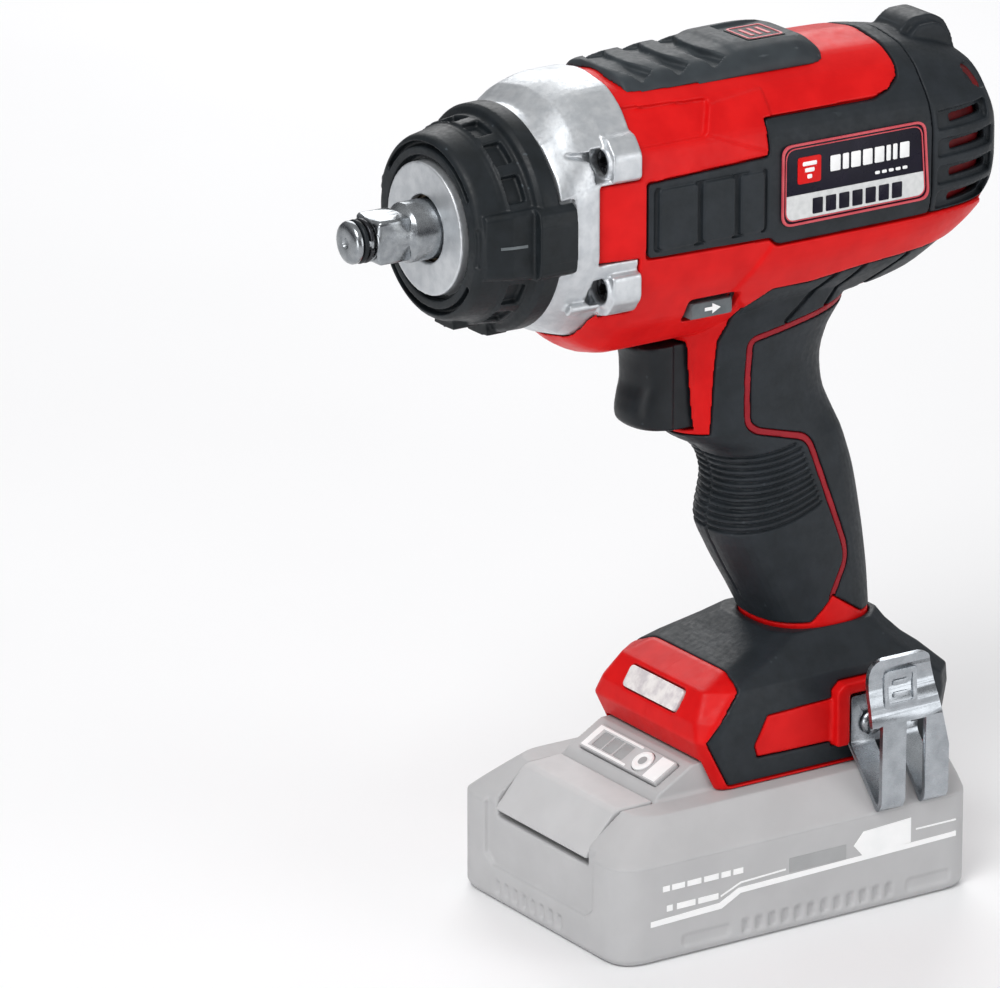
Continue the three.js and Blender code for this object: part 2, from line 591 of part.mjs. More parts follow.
function badge(side) {
  const outline = [[1, 210.6], [1, 231], [-1, 232.2], [-46, 232.2], [-49, 229], [-50.4, 212], [-47, 209], [-1, 208.6]];
  return sidePrism(outline, side > 0 ? 31.3 : -32.1, side > 0 ? 32.1 : -31.3);
}

const grip = () => layer(body, SKIN, across(GRIP_OUTLINE));
const footSkin = () => cut(layer(foot, SKIN, across(FOOT_SKIN_OUTLINE)), across(FOOT_INSERT_OUTLINE),
  across(grow(BRACKET_OUTLINE, GAP)), crossRod(...HOOK_SCREW, 2.4, -60, 60, 16), handle(-GAP));

// ---------------------------------------------------------------- trigger, selector, electrics
function trigger() {
  const side = [[9, 146.6], [27, 145.7], [32.6, 147], [34, 150.5], [33.4, 155], [32.3, 160.5], [32.4, 166],
    [33.4, 171.6], [9, 171.6]];
  const plan = [[9, -9.5], [27, -9.5], [31, -8.2], [33.4, -5], [34.2, 0], [33.4, 5], [31, 8.2], [27, 9.5], [9, 9.5]];
  const springHole = rod(0, 15, 4, 14, 0, 159);
  return cut(overlap(sidePrism(side, -20, 20), planPrism(plan, 140, 180)), springHole);
}

function triggerSwitch() {
  return join(bothSides(-20, 0.7, 9, 147.5, 170), bothSides(-18, -4, 7, 169, 178), rod(0, 4.6, 1.8, 12, 0, 159));
}

function directionSelector() {
  const bar = bothSides(13, 26.8, 24.6, 184, 188.6);
  return cut(bar, bothSides(18, 22, 6, 186.4, 190));
}

function lensBlock(halfWidth, halfHeight, inward, outward) {
  const plate = new THREE.BoxGeometry(inward + outward, 2 * halfWidth, 2 * halfHeight);
  plate.translate((outward - inward) / 2, 0, 0);
  plate.rotateY(-LENS_LEAN);
  plate.translate(LENS_X, 0, LENS_Z);
  return toSolid(plate);
}

function terminalBlock() {
  const base = bothSides(-22, -2, 15, 50.7, 54.2);
  const blades = [-10, 10].map((y) => block(-18, -6, y - 0.6, y + 0.6, 43.4, 51));
  return join(base, ...blades);
}

// ---------------------------------------------------------------- belt hook
// A bent strip: a centre line in y, z made as thick as the sheet, extruded along x.
function strip(line, thickness, x0, x1) {
  const normals = line.map((here, i) => {
    const a = line[Math.max(0, i - 1)];
    const b = line[Math.min(line.length - 1, i + 1)];
    return new THREE.Vector2(b[1] - a[1], a[0] - b[0]).normalize().multiplyScalar(thickness / 2);
  });
  const one = line.map(([y, z], i) => [y + normals[i].x, z + normals[i].y]);
  const two = line.map(([y, z], i) => [y - normals[i].x, z - normals[i].y]).reverse();
  return frontPrism([...one, ...two], x0, x1);
}

function beltHook() {
  const sheet = 1.5;
  const leg = [[29.55, 50], [29.55, 47], [42.2, 32.6], [42.6, 31.4], [43.6, 30.4], [44.8, 31], [45.1, 32.4],
    [45.2, 60]];
  const leaf = [[45.2, 57.5], [44.9, 62], [43.9, 68], [43.9, 74], [44.8, 78]];
  const tab = overlap(strip(leaf, sheet, -48.6, -22), sidePrism([[-23, 55], [-22, 73], [-23.6, 76.4], [-27, 78.4],
    [-39.4, 78.4], [-42.8, 76.6], [-44.2, 73], [-48.6, 55]], 40, 50));
  const plate = cut(block(-48, -26.6, 28.8, 30.3, 47, 62), crossRod(...HOOK_SCREW, 2.2, 20, 40, 16));
  return join(plate, strip(leg, sheet, -35, -26.6), strip(leg, sheet, -50.4, -42), tab);
}

function beltHookScrew() {
  const head = crossRod(...HOOK_SCREW, 3.8, 30.6, 32.8, 24);
  const socket = crossRod(...HOOK_SCREW, 1.6, 31.4, 34, 6);
  return cut(join(head, crossRod(...HOOK_SCREW, 1.7, 20, 31, 14)), socket);
}

// ---------------------------------------------------------------- battery
function roundedPlan(front, rear, half, corner) {
  const side = [[front, half - corner], [front - corner * 0.3, half - corner * 0.3], [front - corner, half],
    [rear + corner, half], [rear + corner * 0.3, half - corner * 0.3], [rear, half - corner]];
  return [...side, ...side.slice().reverse().map(([x, y]) => [x, -y])];
}

const planLoft = (levels) => loft(levels.map(([z, front, rear, half, corner]) =>
  roundedPlan(front, rear, half, corner).map(([x, y]) => [x, y, z])));

function batteryCase() {
  const outer = planLoft([
    [0, BATTERY_FRONT_X - 2, BATTERY_REAR_X + 2, BATTERY_HALF - 1.8, 6],
    [2, BATTERY_FRONT_X, BATTERY_REAR_X, BATTERY_HALF, 7], [28.2, BATTERY_FRONT_X, BATTERY_REAR_X, BATTERY_HALF, 7],
    [BATTERY_SPLIT_Z - GAP, BATTERY_FRONT_X, BATTERY_REAR_X, BATTERY_HALF - 1.8, 7],
  ]);
  return cut(outer, bothSides(-51, 51, 35, 2.6, 60), bothSides(53, 80, PADDLE_HALF + 0.4, 25.9, 60));
}

function batteryLid() {
  const shoulder = planLoft([
    [BATTERY_SPLIT_Z, BATTERY_FRONT_X, BATTERY_REAR_X, BATTERY_HALF - 2.4, 7],
    [33, BATTERY_FRONT_X - 2.7, BATTERY_REAR_X, BATTERY_HALF - 3.6, 7],
    [37, 54.5, BATTERY_REAR_X + 0.7, 36.4, 7], [BATTERY_DECK_Z, 49.5, -58, 33, 7],
  ]);
  const tower = sidePrism([[-50, 38], [-50, TOWER_TOP_Z - 1], [-49, TOWER_TOP_Z], [24.6, TOWER_TOP_Z],
    [36.4, 42.8], [40, 38]], -23.7, 23.7);
  const grooves = onBoth(-60, 12, 21.2, 30, 42.9, 45.6);
  const slots = [-10, 10].map((y) => block(-60, -4, y - 1.1, y + 1.1, 42.9, 60));
  const hollow = join(bothSides(-48, 30, 34, 20, 36.6), bothSides(-40, 18, 7.4, 30, 46.4));
  return cut(join(shoulder, tower), ...grooves, ...slots, hollow, releasePocket(), gaugeRoom(GAP));
}

const releasePocket = () => bothSides(38.2, 80, PADDLE_HALF + 0.4, 20, 60);

function batteryRelease() {
  const outline = [[38.6, 33.6], [38.6, 41.4], [49, 40.9], [61.4, 29.2], [61.4, 28.2], [57.6, 28.2], [53.4, 33.6]];
  return sidePrism(outline, -PADDLE_HALF, PADDLE_HALF);
}

// Places a shape on the gauge's slope; its own x then runs down the slope.
function onGauge(geometry) {
  geometry.rotateY(GAUGE_SLOPE);
  geometry.translate(GAUGE_X, 0, GAUGE_Z);
  return toSolid(geometry);
}

function gaugeRoom(extra) {
  return onGauge(new THREE.BoxGeometry(9.4 + 2 * extra, 39 + 2 * extra, 2.4 + 2 * extra));
}

function gaugeHole(radius, from, to) {
  const geometry = new THREE.CylinderGeometry(radius, radius, to - from, 20);
  geometry.rotateX(Math.PI / 2);
  geometry.translate(0, 8, (from + to) / 2);
  return onGauge(geometry);
}

// ---------------------------------------------------------------- assembly
const wrench = new THREE.Group();

function add(name, solid, look) {
  const mesh = new THREE.Mesh(toGeometry(solid), new THREE.MeshStandardMaterial(LOOK[look]));
  mesh.name = name;
  wrench.add(mesh);
}

add('anvil', anvil(), 'steel');
add('friction_ring', snapRing(), 'darkSteel');
add('anvil_o_ring', sealRing(), 'black');
add('anvil_bushing', ring(84.4, 97.7, 8.9, 10.7, 24), 'brass');
add('hammer_case', hammerCase(), 'cast');
add('nose_bumper', noseBumper(), 'black');
caseScrewPlaces().forEach((place, i) => add(`case_screw_${i + 1}`, caseScrew(place), 'darkSteel'));

add('hammer', hammer(), 'darkSteel');
add('hammer_spring', coilSpring(44.4, 63.1, 13.4, 2.6, 3.5, 0, AXIS_Z), 'steel');
add('cam_ball_1', camBall(1), 'steel');
add('cam_ball_2', camBall(-1), 'steel');
add('camshaft', camshaft(), 'darkSteel');
PLANET_ANGLES.forEach((angle, i) => {
  add(`planet_gear_${i + 1}`, planetGear(angle), 'steel');
  add(`planet_pin_${i + 1}`, planetPin(angle), 'steel');
});
add('ring_gear', ringGear(), 'darkSteel');
add('gearbox_plate', gearboxPlate(), 'cast');

add('rotor', rotor(), 'darkSteel');
add('stator', stator(), 'copper');
add('cooling_fan', coolingFan(), 'black');
add('front_bearing', bearing(12.6, 18.2, 9.5, 3.3), 'steel');
add('rear_bearing', bearing(-64, -58, 9.5, 3.3), 'steel');

const [leftShell, rightShell] = housingShells();
add('left_housing', leftShell, 'red');
add('right_housing', rightShell, 'red');
add('rear_cover', rearCover(), 'overmould');
add('top_pad', topPad(), 'pad');
const sidePads = layer(barrel, SKIN, across(SIDE_PAD_OUTLINE));
add('left_side_pad', leftOf(sidePads), 'overmould');
add('right_side_pad', rightOf(sidePads), 'overmould');
add('left_badge', badge(1), 'badge');
add('right_badge', badge(-1), 'badge');
const grips = cut(grip(), triggerPocket());
add('left_grip', leftOf(grips), 'overmould');
add('right_grip', rightOf(grips), 'overmould');
const footSkins = footSkin();
add('left_foot_skin', leftOf(footSkins), 'overmould');
add('right_foot_skin', rightOf(footSkins), 'overmould');

add('trigger', trigger(), 'black');
add('trigger_switch', triggerSwitch(), 'black');
add('trigger_spring', coilSpring(1.1, 14.7, 2.9, 0.8, 4, 0, 159), 'steel');
add('direction_selector', directionSelector(), 'grey');
add('work_light_lens', lensBlock(13.6, 3.5, 1.2, 1.2), 'lens');
add('control_board', bothSides(-48, 12, 19, 54.6, 56.2), 'board');
add('terminal_block', terminalBlock(), 'black');
add('belt_hook', beltHook(), 'steel');
add('belt_hook_screw', beltHookScrew(), 'darkSteel');

add('battery_case', batteryCase(), 'ghost');
add('battery_lid', batteryLid(), 'ghost');
add('battery_release', batteryRelease(), 'ghost');
add('gauge_panel', cut(gaugeRoom(0), gaugeHole(3.9, -5, 5)), 'ghostLight');
add('gauge_button', gaugeHole(3.6, -0.6, 1.7), 'ghostLight');
for (let i = 0; i < 5; i += 1) {
  const x = 19 * (i - 2);
  add(`cell_${i + 1}`, crossRod(x, 12.4, 9.1, -32.5, 32.5, 20), 'cell');
}

export default wrench;
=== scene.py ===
"""Looks of a cordless impact wrench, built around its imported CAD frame. Sizes are in millimetres."""
import math

import bmesh
import bpy
import numpy as np
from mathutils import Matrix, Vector


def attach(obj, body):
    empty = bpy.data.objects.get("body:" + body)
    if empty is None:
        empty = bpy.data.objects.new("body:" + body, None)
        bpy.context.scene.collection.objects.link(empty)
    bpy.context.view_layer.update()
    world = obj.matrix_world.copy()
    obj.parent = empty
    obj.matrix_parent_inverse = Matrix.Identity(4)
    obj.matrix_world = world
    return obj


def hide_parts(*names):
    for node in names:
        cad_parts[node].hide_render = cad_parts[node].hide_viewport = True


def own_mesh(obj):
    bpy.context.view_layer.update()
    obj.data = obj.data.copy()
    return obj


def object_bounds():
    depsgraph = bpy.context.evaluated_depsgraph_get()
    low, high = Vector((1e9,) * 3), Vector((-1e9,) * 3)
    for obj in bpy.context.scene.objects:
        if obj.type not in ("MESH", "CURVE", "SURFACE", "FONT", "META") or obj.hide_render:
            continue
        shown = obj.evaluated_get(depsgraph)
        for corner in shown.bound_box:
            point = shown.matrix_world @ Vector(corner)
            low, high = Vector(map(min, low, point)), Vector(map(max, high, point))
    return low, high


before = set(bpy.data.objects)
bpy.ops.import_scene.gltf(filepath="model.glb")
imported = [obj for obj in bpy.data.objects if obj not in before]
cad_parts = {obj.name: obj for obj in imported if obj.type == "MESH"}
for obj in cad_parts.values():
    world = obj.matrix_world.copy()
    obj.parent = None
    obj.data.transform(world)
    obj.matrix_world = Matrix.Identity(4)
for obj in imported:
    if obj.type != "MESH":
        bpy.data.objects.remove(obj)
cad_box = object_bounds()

MM = 0.001

# ---------------------------------------------------------------- driving dimensions
AXIS_Z = 217.0
SQUARE = 12.7
CASE_FRONT_X = 100.5
CASE_REAR_X = 48.3
COVER_FRONT_X = -52.0
COVER_FLOOR_Z = 203.5
GAP = 0.3
SKIN = 1.6
WALL = 2.6
INSIDE = SKIN + WALL + 0.2
CHANNEL_TOP_Z = 50.5
CHANNEL_HALF = 24.3
SIDES = ((1, "left"), (-1, "right"))
CORNERS = [(side, up) for side in (1, -1) for up in (1, -1)]
CASE_SCREWS = [(side * 25.0, AXIS_Z + up * 18.5) for side, up in CORNERS]
HOOK_SCREW = (-33.5, 53.2)
BATTERY_FRONT_X = 62.4
BATTERY_REAR_X = -62.4
BATTERY_HALF = 42.85
BATTERY_SPLIT_Z = 29.5
PADDLE_HALF = 23.3
FAR = 200.0

# Barrel, front to back: station x, half width, rise and drop from the axis.
BARREL = [
    (66, 28, 30, 33), (58, 29.5, 36, 41), (48, 30.5, 37.5, 45), (5, 31, 37.5, 44.6), (-40, 31, 36.8, 39.5),
    (-54, 30.4, 35.4, 36.4), (-64, 29.4, 33.2, 31.4), (-73, 27.2, 29.8, 25.4), (-80, 22.6, 24.6, 19.6),
    (-84.4, 14, 15, 12),
]
ROOF = [(0, 1), (0.45, 0.94), (0.68, 0.82), (0.93, 0.55), (1, 0.36)]
BELLY = [(1, 0.21), (0.93, 0.45), (0.75, 0.71), (0.45, 0.93), (0, 1)]
CASE_BODY = [
    (74.7, 30.4, 29.4, 30.8), (71, 31.2, 31.8, 33), (66, 31, 36.2, 35.6), (58, 30, 38.6, 37.6),
    (48.3, 30.2, 38.8, 38),
]
# Handle, bottom to top: height, front x, back x, half width.
HANDLE = [
    (68, -15.5, -47.6, 17.3), (80, -12.4, -48.6, 16.9), (88, -8.2, -48.4, 16.6), (103, 0.3, -46.7, 17.3),
    (113, 4.4, -45, 17.6), (125, 2.4, -42.5, 17), (132, 4.2, -40.4, 16.6), (137, 8.4, -38.7, 16.4),
    (143.5, 19, -35.6, 16.2), (152, 20.4, -31.8, 16.3), (161, 20.8, -30.7, 16.9), (170, 21, -32.8, 18.5),
    (178, 21, -37.6, 20.5), (195, 17, -46, 22),
]
HANDLE_ROUNDNESS = 2.5
# Foot, bottom to top: height, front x, half width of the front, full half width, corner length, rear x.
FOOT = [
    (41, 17.8, 25.8, 27.5, 2, -65), (50, 22.6, 24.5, 28, 3, -66.5), (56.8, 25.2, 26.4, 28.4, 2.4, -67.5),
    (62, 24.2, 24, 28.2, 4.5, -67.2), (69.6, 19.6, 20.8, 26.4, 8, -58.5), (73, 11, 18, 23.8, 7, -54),
    (77, -2, 14.5, 20.4, 6, -50.5), (80, -10, 12.5, 17.8, 5, -49),
]

# Regions seen from the side, as x and z.
GRIP_OUTLINE = [
    (11.5, 172.7), (11.5, 143.6), (30, 143.6), (30, 81.6), (-60, 81.6), (-60, 140), (-90, 165), (-90, 193),
    (-59, 192), (-31, 190.2), (-13.7, 188.4), (-0.5, 188.6), (7.1, 183.9),
]
SEAM = [
    (-56, 180.4), (-39.8, 179.8), (-15.3, 175.7), (2, 172.1), (1, 146.2), (-1.8, 143.6), (-18.3, 139.1),
    (-20.8, 136.8), (-27.5, 118.2), (-33.4, 103.4), (-33.8, 98.7), (-29, 88.3), (-29, 86),
]
SEAM_TRIANGLE = [(-29.4, 88.8), (-45, 78.6), (-19.2, 78.6)]
SEAM_WIDTH = 1.9
SCOOP_OUTLINE = [(52, 248.4), (19.5, 247), (25, 238.3), (52, 238)]
SHOULDER_OUTLINE = [(24.6, 239), (21.4, 245.8), (2, 247.4), (2, 230.4)]
SELECTOR_OUTLINE = [(11, 182.8), (28.2, 182.8), (28.2, 190.3), (11, 190.3)]
TAIL_GROOVES = [
    [(-8.4, 176.2), (-24.9, 190.6)], [(-22.9, 178.2), (-34.4, 191.4)], [(-38.2, 180.6), (-49.7, 191.2)],
]
SIDE_PAD_OUTLINE = [
    (45.6, 228.2), (4.8, 229.8), (4.2, 239.8), (-34, 239.4), (-40, 241), (-44.6, 243.6), (-46, 247.5),
    (-46, 262), (-51.7, 262), (-51.7, 203.8), (1.5, 203.6), (4, 206), (45.6, 206.8),
]
PAD_BLOCKS = [(29.5, 42.3), (16.8, 27.7), (6.8, 15.0)]
BADGE_OUTLINE = [(1.2, 208.6), (1.2, 232.4), (-48.4, 232.4), (-50.2, 208.9)]
FOOT_SKIN_OUTLINE = [(7.6, 80.6), (10.4, 69.4), (22.4, 56.8), (14.6, 42.2), (-70, 42.2), (-70, 80.6)]
FOOT_INSERT_OUTLINE = [(1.7, 61.4), (-21.6, 62.2), (-21.6, 48.4), (4.9, 48.8), (6.2, 52.9)]
BRACKET_OUTLINE = [(-21.4, 47.4), (-26, 47.4), (-26, 63), (-51, 63), (-51, 66.3), (-24, 66.3), (-21.4, 64)]


# ---------------------------------------------------------------- outlines and tables
def rounded(outline, radius, steps=4, closed=True):
    """The outline with each corner replaced by a curve that begins one radius before it."""
    points = [Vector(point) for point in outline]
    result = []
    for i, here in enumerate(points):
        if not closed and i in (0, len(points) - 1):
            result.append(here)
            continue
        back, on = points[i - 1] - here, points[(i + 1) % len(points)] - here
        start = here + back.normalized() * min(radius, 0.45 * back.length)
        end = here + on.normalized() * min(radius, 0.45 * on.length)
        for k in range(steps + 1):
            t = k / steps
            result.append(start * (1 - t) ** 2 + here * (2 * t * (1 - t)) + end * t ** 2)
    return [tuple(point) for point in result]


def smooth_table(rows, step):
    """Rows filled in along their first column by monotone cubic curves."""
    table = np.array(sorted(rows), float)
    at, runs = table[:, 0], np.diff(table[:, 0])
    slopes = np.diff(table, axis=0) / runs[:, None]
    before, after = slopes[:-1], slopes[1:]
    same = before * after > 0
    inner = np.where(same, 2 * before * after / np.where(same, before + after, 1), 0)
    tangents = np.vstack([slopes[:1], inner, slopes[-1:]])
    result = []
    for x in np.linspace(at[0], at[-1], max(2, round((at[-1] - at[0]) / step)) + 1):
        i = min(max(int(np.searchsorted(at, x)) - 1, 0), len(at) - 2)
        t = (x - at[i]) / runs[i]
        hermite = ((1 + 2 * t) * (1 - t) ** 2, t * (1 - t) ** 2, t * t * (3 - 2 * t), t * t * (t - 1))
        result.append(hermite[0] * table[i] + hermite[1] * runs[i] * tangents[i]
                      + hermite[2] * table[i + 1] + hermite[3] * runs[i] * tangents[i + 1])
    return [tuple(float(value) for value in row) for row in result]


def grow(outline, by):
    """The outline moved outwards by a distance."""
    points = [Vector(point) for point in outline]
    count = len(points)
    area = sum(points[i].x * points[(i + 1) % count].y - points[(i + 1) % count].x * points[i].y
               for i in range(count))
    turn = math.copysign(1, area)
    result = []
    for i, here in enumerate(points):
        a = (here - points[i - 1]).normalized()
        b = (points[(i + 1) % count] - here).normalized()
        normal = Vector((a.y + b.y, -a.x - b.x)).normalized()
        reach = by * turn / max(0.4, normal.x * a.y - normal.y * a.x)
        result.append(tuple(here + normal * reach))
    return result


def ribbon(line, width):
    """The closed outline of a stroke drawn along an open line."""
    points = [Vector(point) for point in line]
    sides = ([], [])
    for i, here in enumerate(points):
        a = (here - points[max(i - 1, 0)]).normalized()
        b = (points[min(i + 1, len(points) - 1)] - here).normalized()
        along = (a + b).normalized()
        normal = Vector((along.y, -along.x))
        flat = a if a.length > 0 else b
        reach = width / 2 / max(0.5, abs(normal.x * flat.y - normal.y * flat.x))
        sides[0].append(tuple(here + normal * reach))
        sides[1].append(tuple(here - normal * reach))
    return sides[0] + sides[1][::-1]


def arc(radius, start, end, steps, x=0.0, y=0.0):
    """Points on an arc, with angles in degrees."""
    angles = [math.radians(start + (end - start) * i / steps) for i in range(steps + 1)]
    return [(x + radius * math.cos(angle), y + radius * math.sin(angle)) for angle in angles]


def circle(radius, count, x=0.0, y=0.0):
    return arc(radius, 0, 360 - 360 / count, count - 1, x, y)


def rectangle(x0, x1, y0, y1, radius=0.6, steps=4):
    return rounded([(x0, y0), (x1, y0), (x1, y1), (x0, y1)], radius, steps)


# ---------------------------------------------------------------- mesh tools
def mesh_piece(points, faces):
    mesh = bpy.data.meshes.new("form")
    mesh.from_pydata([[value * MM for value in point] for point in points], [], faces)
    form = bmesh.new()
    form.from_mesh(mesh)
    bmesh.ops.remove_doubles(form, verts=form.verts, dist=1e-7)
    bmesh.ops.recalc_face_normals(form, faces=form.faces)
    form.to_mesh(mesh)
    form.free()
    piece = bpy.data.objects.new("form", mesh)
    bpy.context.scene.collection.objects.link(piece)
    return piece


def loft(rings, closed=False):
    """A skin through rings of equal length, capped at both ends or joined end to end."""
    count = len(rings[0])
    faces = []
    for i in range(len(rings) if closed else len(rings) - 1):
        this, following = i * count, (i + 1) % len(rings) * count
        for j in range(count):
            k = (j + 1) % count
            faces.append((this + j, this + k, following + k, following + j))
    if not closed:
        faces.append(tuple(range(count)))
        faces.append(tuple(range((len(rings) - 1) * count, len(rings) * count)))
    return mesh_piece([point for ring in rings for point in ring], faces)


def prism(outline, axis, low, high):
    """An outline in the two other coordinates, extruded along x, y or z."""
    slot = "xyz".index(axis)
    return loft([[(*point[:slot], level, *point[slot:]) for point in outline] for level in (low, high)])


def side_prism(outline, low=-FAR, high=FAR):
    return prism(outline, "y", low, high)


def block(x0, x1, y0, y1, z0, z1):
    return prism([(x0, y0), (x1, y0), (x1, y1), (x0, y1)], "z", z0, z1)


def both_sides(x0, x1, half, z0, z1):
    return block(x0, x1, -half, half, z0, z1)


def side_block(side, x0, x1, near, far, z0, z1):
    """A block between two distances from the middle plane, on one side of it."""
    return block(x0, x1, *sorted((side * near, side * far)), z0, z1)


def on_side(side, outline, near, far):
    """An outline in x and z, extruded between two distances from the middle plane."""
    return side_prism(outline, *sorted((side * near, side * far)))


def turned(profile, segments=96, y=0.0, z=AXIS_Z):
    """Turns a profile of x and radius about an axis parallel to x."""
    return loft([[(x, p, q) for p, q in circle(r, segments, y, z)] for x, r in profile])


def rod(x0, x1, r, y=0.0, z=AXIS_Z, segments=48):
    return turned([(x0, r), (x1, r)], segments, y, z)


def pipe(line, radius, sides=12, closed=False):
    """A round wire along points in space, on a line that winds round the x axis."""
    points = [Vector(point) for point in line]
    count = len(points)
    rings = []
    for i, here in enumerate(points):
        before = points[i - 1] if closed or i else here
        after = points[(i + 1) % count] if closed or i < count - 1 else here
        along = (after - before).normalized()
        across = along.cross(Vector((1, 0, 0))).normalized()
        up = across.cross(along)
        rings.append([tuple(here + across * p + up * q) for p, q in circle(radius, sides)])
    return loft(rings, closed)


def drop(*pieces):
    for piece in pieces:
        mesh = piece.data
        bpy.data.objects.remove(piece)
        bpy.data.meshes.remove(mesh)


def settle(piece):
    """Applies a piece's modifiers."""
    graph = bpy.context.evaluated_depsgraph_get()
    mesh = bpy.data.meshes.new_from_object(piece.evaluated_get(graph))
    old = piece.data
    piece.modifiers.clear()
    piece.data = mesh
    bpy.data.meshes.remove(old)
    return piece


def combined(operation, target, tools):
    for tool in tools:
        modifier = target.modifiers.new("combine", "BOOLEAN")
        modifier.operation = operation
        modifier.solver = "MANIFOLD"
        modifier.object = tool
    settle(target)
    drop(*tools)
    return target


def join(target, *tools):
    return combined("UNION", target, tools)


def cut(target, *tools):
    return combined("DIFFERENCE", target, tools)


def keep(target, *tools):
    return combined("INTERSECT", target, tools)


def copy_of(piece):
    twin = piece.copy()
    twin.data = piece.data.copy()
    bpy.context.scene.collection.objects.link(twin)
    return twin


def shade(piece, angle=35):
    """Smooth shading, with sharp edges above an angle."""
    form = bmesh.new()
    form.from_mesh(piece.data)
    for face in form.faces:
        face.smooth = True
    for edge in form.edges:
        edge.smooth = len(edge.link_faces) == 2 and edge.calc_face_angle(0) < math.radians(angle)
    form.to_mesh(piece.data)
    form.free()
    return piece


def bevelled(piece, width=0.3, segments=3, angle=30):
    """Rounds the edges of a machined, stamped or plain moulded piece."""
    modifier = piece.modifiers.new("round", "BEVEL")
    modifier.width = width * MM
    modifier.segments = segments
    modifier.limit_method = "ANGLE"
    modifier.angle_limit = math.radians(angle)
    settle(piece)
    return shade(piece, 50)


def moulded(piece, voxel=0.5, relax=5, share=0.35):
    """Gives a piece the soft fillets of a moulding: one even skin, relaxed, then thinned."""
    skin = piece.modifiers.new("skin", "REMESH")
    skin.mode = "VOXEL"
    skin.voxel_size = voxel * MM
    soft = piece.modifiers.new("soft", "SMOOTH")
    soft.factor = 0.5
    soft.iterations = relax
    thin = piece.modifiers.new("thin", "DECIMATE")
    thin.ratio = share
    settle(piece)
    return shade(piece, 70)


# ---------------------------------------------------------------- materials
def linear(colour):
    """Linear values of an sRGB colour given as 0 to 255."""
    def channel(value):
        part = value / 255
        return part / 12.92 if part <= 0.04045 else ((part + 0.055) / 1.055) ** 2.4
    return [*(channel(value) for value in colour), 1.0]


class Surface:
    """A procedural material: colour clouds, roughness clouds and bump on one Principled shader."""

    def __init__(self, name, roughness, metallic=0.0, coat=0.0, specular=0.25, clouds=(0.35, 0.65)):
        self.material = bpy.data.materials.new(name)
        self.material.use_nodes = True
        self.nodes = self.material.node_tree.nodes
        self.links = self.material.node_tree.links
        self.shader = self.nodes["Principled BSDF"]
        self.shader.inputs["Metallic"].default_value = metallic
        self.shader.inputs["Coat Weight"].default_value = coat
        self.shader.inputs["Coat Roughness"].default_value = 0.2
        self.shader.inputs["Specular IOR Level"].default_value = 0.5 if metallic else specular
        self.roughness = roughness
        self.clouds = clouds
        self.place = self.nodes.new("ShaderNodeTexCoord").outputs["Object"]
        self.bump = None

    def noise(self, size, detail=3.0, stretch=(1, 1, 1)):
        """Noise with features of a size in millimetres, longer where stretch is larger."""
        mapping = self.nodes.new("ShaderNodeMapping")
        mapping.inputs["Scale"].default_value = [1 / part for part in stretch]
        texture = self.nodes.new("ShaderNodeTexNoise")
        texture.inputs["Scale"].default_value = 1 / (size * MM)
        texture.inputs["Detail"].default_value = detail
        self.links.new(self.place, mapping.inputs["Vector"])
        self.links.new(mapping.outputs["Vector"], texture.inputs["Vector"])
        return texture.outputs["Fac"]

    def ramp(self, factor, low, high, start=0.35, end=0.65):
        ramp = self.nodes.new("ShaderNodeValToRGB")
        ramp.color_ramp.elements[0].position = start
        ramp.color_ramp.elements[0].color = low
        ramp.color_ramp.elements[1].position = end
        ramp.color_ramp.elements[1].color = high
        self.links.new(factor, ramp.inputs["Fac"])
        return ramp.outputs["Color"]

    def colour(self, low, high, size):
        self.links.new(self.ramp(self.noise(size), low, high, *self.clouds), self.shader.inputs["Base Color"])

    def edge_wear_and_highlight(self, low, high, wear_and_highlight, size):
        """Colour clouds, paler where an edge sticks out: partly edge wear, partly a painted highlight along
        the edges.
        """
        clouds = self.ramp(self.noise(size), low, high)
        edges = self.nodes.new("ShaderNodeNewGeometry").outputs["Pointiness"]
        amount = self.ramp(edges, (0, 0, 0, 1), (1, 1, 1, 1), 0.56, 0.72)
        mix = self.nodes.new("ShaderNodeMix")
        mix.data_type = "RGBA"
        self.links.new(amount, mix.inputs["Factor"])
        self.links.new(clouds, mix.inputs[6])
        mix.inputs[7].default_value = wear_and_highlight
        self.links.new(mix.outputs[2], self.shader.inputs["Base Color"])

    def rough(self, spread, size, stretch=(1, 1, 1)):
        low, high = self.roughness - spread, self.roughness + spread
        grey = self.ramp(self.noise(size, 4.0, stretch), (low, low, low, 1), (high, high, high, 1))
        self.links.new(grey, self.shader.inputs["Roughness"])

    def relief(self, size, depth, stretch=(1, 1, 1)):
        """Fine bumps of a size and depth in millimetres."""
        bump = self.nodes.new("ShaderNodeBump")
        bump.inputs["Distance"].default_value = depth * MM
        bump.inputs["Strength"].default_value = 1.0
        self.links.new(self.noise(size, 3.0, stretch), bump.inputs["Height"])
        if self.bump:
            self.links.new(self.bump, bump.inputs["Normal"])
        self.bump = bump.outputs["Normal"]
        self.links.new(self.bump, self.shader.inputs["Normal"])


LOOKS = {}


def material(name, roughness, colours, size, rough, *reliefs, **shader):
    """Makes a material from colours of 0 to 255: two make clouds; a third paints paler edges, wear and
    painted highlight.
    """
    surface = Surface(name, roughness, **shader)
    paint = surface.edge_wear_and_highlight if len(colours) == 3 else surface.colour
    paint(*[linear(colour) for colour in colours], size)
    surface.rough(*rough)
    for relief in reliefs:
        surface.relief(*relief)
    LOOKS[name] = surface.material
    return surface.material
